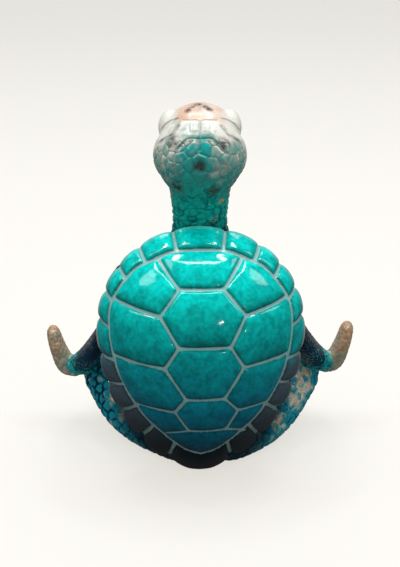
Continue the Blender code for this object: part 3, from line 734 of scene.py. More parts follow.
def hind_flipper_stations(side):
    """The hind flipper folds back from the knee, in front of the body. The left one lies on top."""
    half, feet = LEG_THICKNESS / 2, TAIL_BEHIND_ORIGIN - FEET_AHEAD_OF_TAIL
    lift, tuck = (1.0, 0.0) if side > 0 else (0.55, RIGHT_FOOT_TUCK)
    shin = (side * 0.65 * KNEE_SPREAD, feet + 0.33 * half + 0.4 * tuck, (1.05 + 0.40 * lift) * half)
    ankle = (side * 0.30 * KNEE_SPREAD, feet - 0.08 * half + 0.8 * tuck, (0.45 + 0.85 * lift) * half)
    sole = (-side * 0.14 * KNEE_SPREAD, feet - 0.08 * half + tuck, (0.25 + 0.85 * lift) * half)
    toe = (-side * 0.53 * KNEE_SPREAD, feet + 0.46 * half + tuck, (0.20 + 0.75 * lift) * half)
    return [(knee_of(side), 0.88 * half, 0.88 * half), (shin, 0.80 * half, 0.74 * half),
            (ankle, 0.66 * half, 0.50 * half), (sole, 0.86 * half, 0.38 * half),
            (toe, 0.62 * half, 0.26 * half)]


def hand_step(side, out, back, up):
    """A step from one point of a fore flipper to the next, by shares of the hand's length."""
    return np.array([side * out, back, up]) * HAND_LENGTH


def arm_lift(side):
    """How much higher an arm is than the left one."""
    return 0.0 if side > 0 else RIGHT_ARM_LIFT


def wrist_of(side):
    """Where a fore flipper rests beside the knee and turns up."""
    x = side * (KNEE_SPREAD + WRIST_BESIDE_KNEE)
    beside = np.array([x, TAIL_BEHIND_ORIGIN - KNEE_AHEAD_OF_TAIL, KNEE_HEIGHT + arm_lift(side)])
    return beside + hand_step(side, 0, 0.043, 0.245)


def arm_stations(side):
    """The arm comes down and out from the shoulder to the wrist."""
    wide, thick = ARM_WIDTH / 2, ARM_THICKNESS / 2
    wrist = wrist_of(side)
    shoulder = Shell.spot(side * 0.68, 0.67, 0.286) + (0, 0, arm_lift(side))
    forearm = wrist + hand_step(side, -0.328, 0.362, 0.404)
    upper_arm = shoulder * 0.5 + forearm * 0.5 + hand_step(side, 0.043, 0, -0.043)
    return [(shoulder, 1.20 * wide, 1.45 * thick), (upper_arm, wide, thick), (forearm, 0.85 * wide, thick),
            (wrist, 0.70 * wide, 0.85 * thick)]


def hand_stations(side):
    """The flipper's end stands up from the wrist, flat and blunt."""
    wide, thick = ARM_WIDTH / 2, ARM_THICKNESS / 2
    wrist = wrist_of(side)
    heel = wrist + hand_step(side, 0.234, -0.043, -0.021)
    palm = wrist + hand_step(side, 0.410, -0.064, 0.34)
    tip = wrist + hand_step(side, 0.485, -0.085, 0.61)
    return [(wrist + hand_step(side, -0.085, 0, 0), 0.66 * wide, 0.80 * thick),
            (heel, 0.68 * wide, 0.80 * thick), (palm, 0.76 * wide, 0.64 * thick),
            (tip, 0.62 * wide, 0.56 * thick)]


def body_forms():
    forms = torso_forms() + head_forms() + [limb("neck", neck_stations(), (1, 0, 0))]
    for side in (1, -1):
        forms.append(limb("thigh", thigh_stations(side), (0, 0, 1)))
        forms.append(limb("hind_flipper", hind_flipper_stations(side), (0, 0.5, 0.85)))
        forms.append(limb("arm", arm_stations(side), (0, 1, 0.3)))
        forms.append(limb("hand", hand_stations(side), (0, 1, 0.1)))
    return forms


def settle(piece):
    """Replaces a piece's mesh with what its modifiers make of it."""
    bpy.context.view_layer.update()
    whole = bpy.data.meshes.new_from_object(piece.evaluated_get(bpy.context.evaluated_depsgraph_get()))
    piece.modifiers.clear()
    piece.data = whole


def fuse(name, forms, voxel, smoothing):
    """Joins overlapping solids into one smooth skin."""
    with bpy.context.temp_override(active_object=forms[0], selected_editable_objects=forms):
        bpy.ops.object.join()
    joined = forms[0]
    joined.name = name
    remesh = joined.modifiers.new("one_skin", "REMESH")
    remesh.mode = "VOXEL"
    remesh.voxel_size = voxel
    smooth = joined.modifiers.new("soften", "SMOOTH")
    smooth.factor = 0.5
    smooth.iterations = smoothing
    settle(joined)
    return joined


def groove(distance, width):
    """1 in the middle of a groove, falling smoothly to 0 at its edges."""
    return np.clip(1 - (2 * distance / width) ** 2, 0, 1) ** 2


def carve_carapace(carapace, s, spacing):
    """Raises the plates from the bands between them, and keeps what the glaze follows."""
    points, normals = read_points(carapace.data), read_points(carapace.data, "normal")
    part, angle, h = Shell.way_out(points)
    edge = edge_share(angle)
    paths = [Shell.surface(*dome_edge())] + dome_seams() + rim_seam_paths()
    nearest, away = way_from_paths(points, paths, SEAM_BLEND)
    half = 0.5 * s.seam_width * (1 + 0.25 * waver(points, SEAM_WAVE))
    outside = ease(h, -0.8 * RIM_THICKNESS, 0.2 * RIM_THICKNESS)

    gap = half - nearest
    at_edge = (np.abs(gap) < 0.5 * spacing) & (outside > 0.5)
    slide = away - normals * np.sum(away * normals, axis=1)[:, None]
    points = points + slide * np.where(at_edge, gap, 0)[:, None]
    beyond = np.where(at_edge, 0, np.maximum(nearest - half, 0))
    round_up = np.clip(beyond / s.shoulder, 0, 1)
    band = s.seam_depth * (1 - np.sqrt(1 - (1 - round_up) ** 2))
    on_dome = part < edge
    swell = s.plate_swell * (1 - np.exp(-beyond / s.swell_reach)) * np.where(on_dome, 1.0, 0.5)
    raised = points + normals * ((swell - band) * outside)[:, None]
    raised[:, 2] = np.maximum(raised[:, 2], 0)
    write_points(carapace.data, raised)
    write_layer(carapace.data, "seam", (nearest - half) * 1000)
    # Which side of the nearest seam a point lies on, fading away from it. It drives the darker glaze that
    # gathers on a plate's lower edge, together with painted shade there, and a painted highlight on a
    # plate's upper edge.
    write_layer(carapace.data, "pooled_shade", (away @ Shell.along) * np.exp(-beyond / POOL_SHADE_REACH))
    write_layer(carapace.data, "rim", ease(part, edge - 0.005, edge + 0.005))
    # Where the pale edge of the upper rim's lip shows: partly glaze thinning over the edge, partly painted
    # highlight.
    write_layer(carapace.data, "lip", ease(part, 0.985, 0.999) * (h > -0.7 * RIM_THICKNESS))


def tree_of(points):
    tree = kdtree.KDTree(len(points))
    for i, point in enumerate(points):
        tree.insert(point, i)
    tree.balance()
    return tree


def scatter(points, spacing, seed, first):
    """The numbers of points spread evenly, each no nearer to the others than its own spacing.
    The first ones are given."""
    tree = tree_of(points)
    free = spacing > 0
    chosen = []
    for i in np.concatenate([first, np.random.default_rng(seed).permutation(len(points))]).astype(int):
        if free[i]:
            chosen.append(i)
            for _, j, _ in tree.find_range(points[i], spacing[i]):
                free[j] = False
    return np.array(chosen)


def scale_borders(points, middles):
    """Each point's distance to the border of its scale, and its scale's number."""
    tree = tree_of(middles)
    border, own = np.empty(len(points)), np.empty(len(points), int)
    for i, point in enumerate(points):
        (a, j, near), (b, _, far) = tree.find_n(point, 2)
        border[i] = (far * far - near * near) / (2 * (a - b).length)
        own[i] = j
    return border, own


def nearness(points, stations):
    """How far each point lies from a limb's middle line, as a share of the limb's thickness there."""
    table = station_table(stations, 8)
    nearest = np.full(len(points), np.inf)
    for x, y, z, a, b in table:
        nearest = np.minimum(nearest, np.linalg.norm(points - (x, y, z), axis=1) / ((a + b) / 2))
    return nearest


LEG, FLIPPER, ARM, HAND, NECK, TORSO = range(6)


def limbs_of(points):
    """Which limb each point of the skin belongs to."""
    near = [np.full(len(points), np.inf) for _ in range(6)]
    for side in (1, -1):
        for part, stations in (
            (LEG, thigh_stations(side)), (FLIPPER, hind_flipper_stations(side)),
            (ARM, arm_stations(side)), (HAND, hand_stations(side)),
        ):
            near[part] = np.minimum(near[part], nearness(points, stations))
    near[NECK] = nearness(points, neck_stations())
    near[TORSO] = 1.05 * np.linalg.norm((points - Torso.middle) / Torso.half, axis=1)
    return np.argmin(near, axis=0)


def shield_of(points, normals):
    """1 on the belly shield, and each point's distance to the nearest seam across it."""
    part = (points - Torso.middle) / Torso.half
    on_torso = (np.abs(np.linalg.norm(part, axis=1) - 1) < 0.2) & (part[:, 1] < 0)
    front = np.clip(-normals[:, 1] * 2 - 0.4, 0, 1) * on_torso
    outline = smooth_path(SHIELD_OUTLINE, 6)
    half = np.interp(part[:, 2], outline[:, 1], outline[:, 0], left=0, right=0)
    within = np.clip((half - np.abs(part[:, 0])) / 0.06, 0, 1)
    to_seam = np.abs(part[:, 2, None] - SHIELD_SEAMS).min(1) * Torso.half[2]
    return front * within, np.minimum(to_seam, np.abs(points[:, 0]))


def head_creases(points, normals):
    """Each point's distance, in metres, to the creases of the crown, the temples, and the lips and lids."""
    side, ahead, up = Head.shares(points).T
    near = (np.abs(up) < 0.5) & (np.abs(ahead) < 0.6) & (np.abs(side) < 0.6)
    facing_up = normals @ Head.up
    stretch = HEAD_WIDTH / HEAD_LENGTH
    from_above = np.stack([np.abs(side) * stretch, ahead], 1)
    from_beside = np.stack([ahead, up], 1)
    on_crown = near & (facing_up > 0.15) & (up > 0)
    found = {}
    for name, creases in (("crown", CROWN_CREASES), ("temple", [TEMPLE_CREASE])):
        away = distance_to_paths(from_above, [smooth_path(crease, 5) * (stretch, 1) for crease in creases])
        found[name] = np.where(on_crown, away, 1.0) * HEAD_LENGTH
    away = distance_to_paths(from_beside, [smooth_path(LIPS, 4), smooth_path(LIDS, 4)])
    on_flank = near & (np.abs(normals[:, 0]) > 0.10) & (facing_up < 0.8)
    found["flank"] = np.where(on_flank, away, 1.0) * HEAD_LENGTH
    return found


def blob(points, middle, radius):
    """1 at a spot, falling smoothly to 0 a radius away."""
    return ease(np.linalg.norm(points - middle, axis=1), radius, 0.25 * radius)


def blobs(points, middles, radius):
    """1 at any of several places, falling smoothly to 0 a radius away."""
    return np.maximum.reduce([blob(points, middle, radius) for middle in middles])


def spots(points, places, radius):
    """The same for places on the head, given as shares of its width and length."""
    return blobs(points, [Head.place(*at) for at in places], radius)


def hump(distance, width):
    """1 at no distance, fading evenly to both sides."""
    return np.exp(-(distance / width) ** 2)


class Skin:
    """Where each point of the skin lies: on which limb, and how far over the head, neck and belly shield."""

    def __init__(self, points, normals):
        self.points, self.height = points, points[:, 2]
        self.limb = limbs_of(points)
        self.side, self.ahead, self.up = Head.shares(points).T
        self.wide = np.abs(self.side)
        self.down = 0.5 * (CROWN_TOP - self.up) - self.ahead
        self.on_head = ease(self.height, *HEAD_FOOT)
        self.on_neck = (self.limb == NECK) | (self.on_head > 0)
        self.on_legs = (self.limb == LEG) | (self.limb == FLIPPER)
        crown = self.on_head * ease(self.down, 0.135, 0.075)
        jaw = self.on_head * ease(self.down, 0.20, 0.08) * ease(self.wide, 0.30, 0.40)
        jaw = jaw * ease(self.up, 0.20, 0.05)
        self.bald = np.maximum(crown, jaw)
        self.shield, self.to_shield_seam = shield_of(points, normals)
        self.creases = head_creases(points, normals)
        self.part, _, self.out = Shell.way_out(points)
        self.to_wrist = [np.linalg.norm(points - wrist_of(hand), axis=1) for hand in (1, -1)]


def scale_spacing(skin, s):
    """The distance between scales at each point, 0 where there are none, and the points they start from."""
    spacing = np.select(
        [skin.on_head > 0.5, skin.on_neck, skin.limb == LEG, skin.limb == FLIPPER, skin.limb == TORSO],
        [s.head_scale, 1.45 * s.arm_scale, s.leg_scale, 0.8 * s.leg_scale, 1.2 * s.arm_scale], s.arm_scale)
    spacing = np.where((skin.bald > 0.6) | (skin.shield > 0.5), 0, spacing)
    tree, first = tree_of(skin.points), []
    for at, radius in NAPE_SCALES:
        _, i, off = tree.find(Head.place(*at))
        if off < NEAR_ENOUGH:
            first.append(i)
            spacing[i] = 1.8 * radius
    return spacing, scatter(skin.points, spacing, SCALE_SEED, first)


def frontal_scales(skin):
    """1 on the two flat scales between the eyes."""
    frontal = np.zeros(len(skin.points))
    for x, y, _ in FRONTALS:
        off = np.maximum(np.abs(skin.side - x) / 0.040, np.abs(skin.ahead - y) / 0.050)
        frontal = np.maximum(frontal, ease(off, 1.15, 0.75) * (skin.up > 0.2))
    return frontal


def wrist_folds(skin):
    """Each point's distance to the nearest fold round a wrist."""
    folds = np.full(len(skin.points), 1.0)
    for hand, off in zip((1, -1), skin.to_wrist):
        fold = np.abs((off - FIRST_FOLD) % FOLD_STEP - FOLD_STEP / 2)
        folded = (skin.limb == ARM) & (off < LAST_FOLD) & (skin.points[:, 0] * hand > 0)
        folds = np.where(folded, np.minimum(folds, fold), folds)
    return folds


def skin_relief(skin, border, width, folds, frontal, s):
    """How far each point moves out of the smooth skin for the scales, shield, creases and folds."""
    rise = np.clip(2.3 * border / width, 0, 1)
    rise = (1 - (1 - rise) ** 2) - 0.6
    plain = np.clip(skin.bald + skin.shield, 0, 1)
    steep = np.where(skin.on_legs | (skin.on_neck & (skin.on_head < 0.5)), 1.5, 1.0)
    move = s.relief * steep * np.minimum(width, WIDEST_SCALE) * rise * (1 - plain)

    move += skin.shield * (BELLY_SHIELD_RISE - 1.2 * s.crease * groove(skin.to_shield_seam, 0.0018))
    crown = np.minimum(skin.creases["crown"], skin.creases["temple"])
    move -= s.crease * (groove(crown, 0.0013) + 0.8 * groove(skin.creases["flank"], 0.0015)) * skin.on_head
    move += 0.0005 * spots(skin.points, KNOBS, 0.0030) - 0.0010 * spots(skin.points, [PIT], 0.0040)
    move += 0.00030 * frontal - 0.0005 * spots(skin.points, NOSTRILS, 0.0012)
    move -= 0.00035 * groove(folds, 0.0015)
    neck_ring = np.abs(skin.height - NECK_CUT - 0.0006 * waver(skin.points, 0.02))
    move -= 0.0003 * groove(neck_ring, 0.0024) * skin.on_neck
    return move * ease(skin.height, *SOLE)


def head_glaze(skin):
    """How thick the glaze lies over the head and neck, and where dark oxide, painted shade, tan and warm
    slip show.
    """
    points, wide, ahead, up, down = skin.points, skin.wide, skin.ahead, skin.up, skin.down
    out = ease(wide, 0.09, 0.26)
    thick = read_off(down, NAPE_GLAZE) * (1 - out) + read_off(down, FLANK_GLAZE) * out

    behind = (read_off(wide, NAPE_CREASE) - ahead) * HEAD_LENGTH
    over_crown = (up > 0.10) * ease(wide, 0.27, 0.22)
    arc = hump(behind, 0.0009) * over_crown
    # Painted shade just ahead of the nape's arc, and a painted highlight along the raised rim just behind
    # it.
    arc_shade = hump(behind + 0.0009, 0.0009) * over_crown
    ridge_highlight = hump(behind - 0.0018, 0.0006) * over_crown
    thick += 0.14 * arc_shade * ease(wide, 0.20, 0.12) - 0.24 * ridge_highlight

    knobs = spots(points, KNOBS, 0.0048)
    thick -= 0.15 * knobs
    soot_and_shade = np.maximum.reduce([
        0.95 * spots(points, NOSTRILS, 0.0027),
        0.40 * spots(points, [SNOUT_TOP], 0.0060),
        0.95 * spots(points, [PIT], 0.0046),
        0.40 * spots(points, [PIT], 0.0085),
        # The nape's dark patches and arc: dark oxide, partly painted shade.
        0.95 * spots(points, NAPE_SHADE_WASHES, 0.0056),
        0.60 * arc * ease(wide, 0.05, 0.12),
        0.80 * knobs,
        0.28 * ease(skin.creases["crown"], 0.0009, 0.0002),
        0.70 * ease(skin.creases["temple"], 0.0018, 0.0002),
        0.30 * ease(down, 0.18, 0.35) * ease(down, 0.62, 0.50)])
    tan = np.maximum.reduce([spots(points, [at], radius) for at, radius in TAN_SPOTS])
    warm = ease(ahead, 0.065, 0.135) * ease(wide, 0.30, 0.19) * ease(up, 0.10, 0.20)
    rosy_line = 0.35 * ease(wide, 0.024, 0.006) * ease(ahead, -0.05, 0.0) * ease(up, 0.20, 0.25)
    return thick, soot_and_shade, tan, np.maximum(warm, rosy_line)


def skin_layers(skin, border, folds, frontal):
    """What the skin's glaze follows, by name, with one number for each point."""
    hand, arm, legs = skin.limb == HAND, skin.limb == ARM, skin.on_legs
    to_wrist = np.minimum(*skin.to_wrist)
    tip = hand * ease(skin.height, 0.033, 0.040)
    thick, soot_and_shade, tan, warm = head_glaze(skin)
    limb_thick = np.select(
        [hand, arm, legs & (skin.points[:, 0] < 0), legs, skin.shield > 0.5],
        [0.34 - 0.12 * tip, read_off(to_wrist, ARM_GLAZE_AND_SHADE), 0.66, 0.72, 0.30], 0.85)
    thick = np.where(skin.on_neck, thick, limb_thick)
    thick -= 0.25 * (folds < 0.0004)
    patches = blobs(skin.points, PALE_PATCHES, 0.0030) * legs
    around = blobs(skin.points, PALE_PATCHES, 0.0085) * legs
    # Painted shade and light on the scales: darker in the gaps between scales, lighter on their crowns, on
    # the hind flippers and the arms.
    scale_gap_shade = ease(border, 0.0011, 0.0003)
    thick = thick - 0.30 * patches
    thick = thick + legs * (0.42 * scale_gap_shade * (1 - 1.8 * around) - 0.14) + arm * (0.25 * scale_gap_shade - 0.08)
    # Painted shade in the gaps between the neck's scales, and painted light on their crowns.
    thick = thick + 0.12 * (ease(border, 0.0007, 0.0002) - 0.35) * skin.on_neck * ease(skin.down, 0.45, 0.60)

    rim_side = legs * ease(skin.part, 1.22, 1.06) * ease(skin.height, 0.030, 0.045)
    arm_blue = 0.35 + 0.5 * ease(to_wrist, 0.010, 0.026)
    by_limb = np.select([arm, legs, skin.limb == TORSO], [arm_blue, 0.75, 0.6], 0.0)
    below_neck = ease(skin.height, 0.112, 0.099)
    seam = np.where(skin.shield > 0.5, skin.to_shield_seam, border)
    return {
        "seam": np.where(skin.bald > 0.5, 0.003, seam) * 1000,
        "thick": thick,
        "warm": np.maximum(warm * skin.on_head, 0.85 * tip + 0.10 * hand),
        "soot_and_shade": np.maximum(soot_and_shade * skin.on_head, 0.35 * hand),
        "tan": np.maximum.reduce([tan * skin.on_neck, 0.55 * hand, 0.60 * rim_side, 0.60 * patches]),
        "blue": by_limb * (1 - skin.shield),
        # Painted shade, with deep glaze, where the arms and thighs run in under the shell's rim.
        "hollow_shade": ease(skin.part, 1.26, 1.05) * ease(skin.out, -0.036, -0.018) * below_neck,
        # Painted highlight round the edges of the two frontal scales.
        "frame": frontal * (1 - frontal) * 4,
    }


def carve_skin(turtle, s):
    """Works the scales, creases and folds into the smooth skin, and keeps what the glazes follow."""
    points, normals = read_points(turtle.data), read_points(turtle.data, "normal")
    skin = Skin(points, normals)
    spacing, chosen = scale_spacing(skin, s)
    wander = np.stack([waver(points + start, 0.0045) for start in (0.0, 0.01, 0.02)], 1)
    warped = points + wander * np.where(skin.on_legs, 0.0006, 0.0004)[:, None]
    border, own = scale_borders(warped, warped[chosen])
    folds, frontal = wrist_folds(skin), frontal_scales(skin)
    move = skin_relief(skin, border, spacing[chosen][own], folds, frontal, s)
    write_points(turtle.data, points + normals * move[:, None])
    write_layer(turtle.data, "cell", np.random.default_rng(TINT_SEED).random(len(chosen))[own])
    for name, values in skin_layers(skin, border, folds, frontal).items():
        write_layer(turtle.data, name, values)


def tuck_under_shell(turtle):
    """Flattens the torso's back where the shell encloses it, and lifts onto the floor what lies below it."""
    points = read_points(turtle.data)
    part, _, h = Shell.way_out(points)
    inside = (part < 0.90) & (h > -0.4 * RIM_THICKNESS)
    points = points - np.where(inside, h + 0.4 * RIM_THICKNESS, 0)[:, None] * Shell.out
    points[:, 2] = np.maximum(points[:, 2], 0)
    write_points(turtle.data, points)


def cut_off(turtle, name, above):
    """A copy of the skin above or below the neck's cut, closed with a flat cap."""
    form = bmesh.new()
    form.from_mesh(turtle.data)
    whole = form.verts[:] + form.edges[:] + form.faces[:]
    cut = bmesh.ops.bisect_plane(
        form, geom=whole, plane_co=(0, 0, NECK_CUT), plane_no=(0, 0, 1),
        clear_inner=above, clear_outer=not above)
    rim = [e for e in cut["geom_cut"] if isinstance(e, bmesh.types.BMEdge)]
    bmesh.ops.holes_fill(form, edges=rim, sides=0)
    for edge in rim:
        edge.smooth = False
    made = bpy.data.meshes.new(name)
    form.to_mesh(made)
    form.free()
    return add_object(name, made)


def thin_out(piece):
    """Joins the flattest faces of a piece that has more triangles than the library takes."""
    triangles = sum(len(face.vertices) - 2 for face in piece.data.polygons)
    if triangles > MOST_TRIANGLES:
        fewer = piece.modifiers.new("fewer_faces", "DECIMATE")
        fewer.ratio = MOST_TRIANGLES / triangles
        settle(piece)


def hand_over(piece, material):
    """Gives a piece its glaze and smooth shading, hangs it on the root body, and hides the solid turtle from
    model.glb.
    """
    piece.data.materials.clear()
    piece.data.materials.append(material)
    piece.data.shade_smooth()
    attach(piece, "root")
    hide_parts(NODE)


class Graph:
    """Adds nodes to one material or group and joins them."""

    def __init__(self, tree):
        self.tree = tree

    def node(self, kind, inputs=(), **settings):
        made = self.tree.nodes.new(kind)
        for name, value in settings.items():
            setattr(made, name, value)
        for socket, value in dict(inputs).items():
            if isinstance(value, bpy.types.NodeSocket):
                self.tree.links.new(value, made.inputs[socket])
            else:
                made.inputs[socket].default_value = value
        return made

    def layer(self, name):
        """A number kept on the mesh."""
        return self.node("ShaderNodeAttribute", attribute_name=name).outputs["Fac"]

    def place(self):
        """Where a point lies, in metres, as X, Y and Z."""
        spot = self.node("ShaderNodeTexCoord").outputs["Object"]
        return self.node("ShaderNodeSeparateXYZ", {0: spot}).outputs

    def math(self, operation, a, b=0.0, clamp=False):
        return self.node("ShaderNodeMath", {0: a, 1: b}, operation=operation, use_clamp=clamp).outputs[0]

    def times(self, a, b, clamp=False):
        return self.math("MULTIPLY", a, b, clamp)

    def plus(self, a, b):
        return self.math("ADD", a, b)

    def minus(self, a, b):
        return self.math("SUBTRACT", a, b)

    def mix(self, amount, a, b, blend="MIX"):
        """A blend of two colours, each from a node or given as red, green and blue."""
        a, b = (tint if isinstance(tint, bpy.types.NodeSocket) else (*tint, 1) for tint in (a, b))
        inputs = {0: amount, 6: a, 7: b}
        return self.node("ShaderNodeMix", inputs, data_type="RGBA", blend_type=blend).outputs[2]

    def ease(self, value, low, high, to_low=0.0, to_high=1.0):
        """A smooth step from to_low to to_high as the value goes from low to high."""
        sockets = {"Value": value, "From Min": low, "From Max": high, "To Min": to_low, "To Max": to_high}
        return self.node("ShaderNodeMapRange", sockets, interpolation_type="SMOOTHSTEP").outputs["Result"]

    def ramp(self, value, stops):
        """Colours along a scale: each stop is a place on it and a colour."""
        made = self.node("ShaderNodeValToRGB", {0: value})
        elements = made.color_ramp.elements
        while len(elements) < len(stops):
            elements.new(0.5)
        for element, (place, tint) in zip(elements, stops):
            element.position = place
            element.color = (*tint, 1)
        return made.outputs["Color"]

    def grey(self, value):
        return self.node("ShaderNodeCombineColor", {0: value, 1: value, 2: value}).outputs[0]

    def noise(self, size, detail=2.0, distortion=0.0, shift=0.0):
        """Cloudy noise whose patches are about size metres across. A shift gives other patches."""
        place = self.node("ShaderNodeTexCoord").outputs["Object"]
        moved = self.node("ShaderNodeVectorMath", {0: place, 1: [shift] * 3}, operation="ADD")
        moved, scale = moved.outputs[0], 0.5 / size
        sockets = {"Vector": moved, "Scale": scale, "Detail": detail, "Distortion": distortion}
        return self.node("ShaderNodeTexNoise", sockets).outputs["Fac"]

    def sway(self, reach, *cloud):
        """Cloudy noise about 0, as far as reach from its lowest to its highest."""
        return self.times(self.minus(self.noise(*cloud), 0.5), reach)

    def group(self, tree, inputs):
        return self.node("ShaderNodeGroup", inputs, node_tree=tree).outputs


def node_group(name, inputs, output, kind):
    """An empty group of nodes with named inputs and one output."""
    tree = bpy.data.node_groups.new(name, "ShaderNodeTree")
    for title, default in inputs.items():
        socket = tree.interface.new_socket(title, in_out="INPUT", socket_type="NodeSocketFloat")
        socket.default_value = default
    tree.interface.new_socket(output, in_out="OUTPUT", socket_type=kind)
    entry, end = tree.nodes.new("NodeGroupInput"), tree.nodes.new("NodeGroupOutput")
    return Graph(tree), entry.outputs, end.inputs[output]


def kiln_mottle():
    """A group for the cloudy patches that the kiln leaves in a glaze."""
    if "kiln_mottle" in bpy.data.node_groups:
        return bpy.data.node_groups["kiln_mottle"]
    g, inputs, light = node_group("kiln_mottle", {"Strength": 0.4}, "Light", "NodeSocketFloat")
    patches = g.ease(g.noise(0.0030, 3, 0.6), 0.36, 0.64)
    grains = g.ease(g.noise(0.0010, 4, 0.3, 3.0), 0.36, 0.66)
    both = g.plus(g.times(patches, 0.5), g.times(grains, 0.5))
    swing = g.times(g.minus(both, 0.5), inputs["Strength"])
    g.tree.links.new(g.plus(swing, 1.0), light)
    return g.tree


def glazed_relief():
    """A group for the fine unevenness of a fired glaze: a slow ripple, and grain where the slip is bare."""
    if "glazed_relief" in bpy.data.node_groups:
        return bpy.data.node_groups["glazed_relief"]
    defaults = {"Ripple": 0.3, "Grain": 0.0}
    g, inputs, normal = node_group("glazed_relief", defaults, "Normal", "NodeSocketVector")
    ripple = g.times(g.noise(0.0022, 2), inputs["Ripple"])
    grain = g.times(g.noise(0.0005, 3, 0.0, 2.0), inputs["Grain"])
    bump = g.node("ShaderNodeBump", {"Height": g.plus(ripple, grain), "Strength": 1.0, "Distance": 0.0003})
    g.tree.links.new(bump.outputs["Normal"], normal)
    return g.tree


def new_material(name, roughness):
    material = bpy.data.materials.new(name)
    material.use_nodes = True
    shader = material.node_tree.nodes["Principled BSDF"]
    shader.inputs["Roughness"].default_value = roughness
    shader.inputs["Metallic"].default_value = 0.0
    return material, Graph(material.node_tree), shader


def glaze_over(g, shader, glaze, roughness, ripple, grain):
    """Joins a glaze's colour, roughness and fine relief to its material."""
    relief = g.group(glazed_relief(), {"Ripple": ripple, "Grain": grain})
    for socket, value in (("Base Color", glaze), ("Roughness", roughness), ("Normal", relief["Normal"])):
        g.tree.links.new(value, shader.inputs[socket])


def shell_glaze(s):
    """The shell's glaze: turquoise at the shoulders, deep blue at the tail, pale bands between plates."""
    material, g, shader = new_material("shell_glaze", 0.10)
    mottle = g.group(kiln_mottle(), {"Strength": s.mottle})["Light"]
    height = g.place()["Z"]
    run = g.plus(height, g.sway(0.016, 0.012, 2))
    glaze = g.ramp(g.times(run, 1 / SHELL_LENGTH), [
        (0.18, s.foot), (0.36, s.lower), (0.55, s.middle), (0.75, s.upper), (0.95, s.top)])
    seam, rim, pooled_shade = g.layer("seam"), g.layer("rim"), g.layer("pooled_shade")
    # Painted reflection of the floor on the lower rim plates, turning to painted shade at the tail.
    floor_reflection = g.mix(g.ease(height, 0.048, 0.010), s.floor_reflection, s.rim)
    glaze = g.mix(g.times(rim, g.ease(run, 0.064, 0.050)), glaze, floor_reflection)

    calm = g.minus(1.0, g.times(rim, g.ease(height, 0.07, 0.05, 0.0, 0.8)))
    swing = g.times(g.minus(mottle, 1.0), calm)
    # Painted shade: darker at each plate's lower edge, where the glaze also gathers, and a little darker
    # near every seam. Painted highlight: lighter along each plate's upper edge. The kiln's mottle rides on
    # this.
    shade = g.plus(g.ease(pooled_shade, 0.0, 1.0, 1.0, 0.38), g.ease(pooled_shade, -1.0, 0.0, 0.18, 0.0))
    shade = g.times(shade, g.ease(seam, 0.0, 1.6, 0.82, 1.0))
    shade = g.times(shade, g.plus(swing, 1.0))
    glaze = g.mix(1.0, glaze, g.grey(shade), "MULTIPLY")

    line = g.ease(g.plus(seam, g.sway(0.25, 0.0025, 2, 0.0, 5.0)), 0.12, -0.08)
    low = g.mix(g.ease(height, 0.080, 0.020), s.seam, [0.6 * light for light in s.seam])
    band = g.mix(g.times(g.noise(0.0014, 3, 0.0, 9.0), 0.35), low, glaze)
    glaze = g.mix(line, glaze, band)
    # Pale edge on the upper rim's lip: partly glaze thinning over the edge, partly painted highlight.
    lip = g.times(g.layer("lip"), g.ease(height, 0.045, 0.065, 0.0, 0.28))
    glaze = g.mix(lip, glaze, s.seam)
    glaze_over(g, shader, glaze, g.ease(line, 0.0, 1.0, 0.08, 0.22), 0.30, g.times(line, 0.3))
    return material


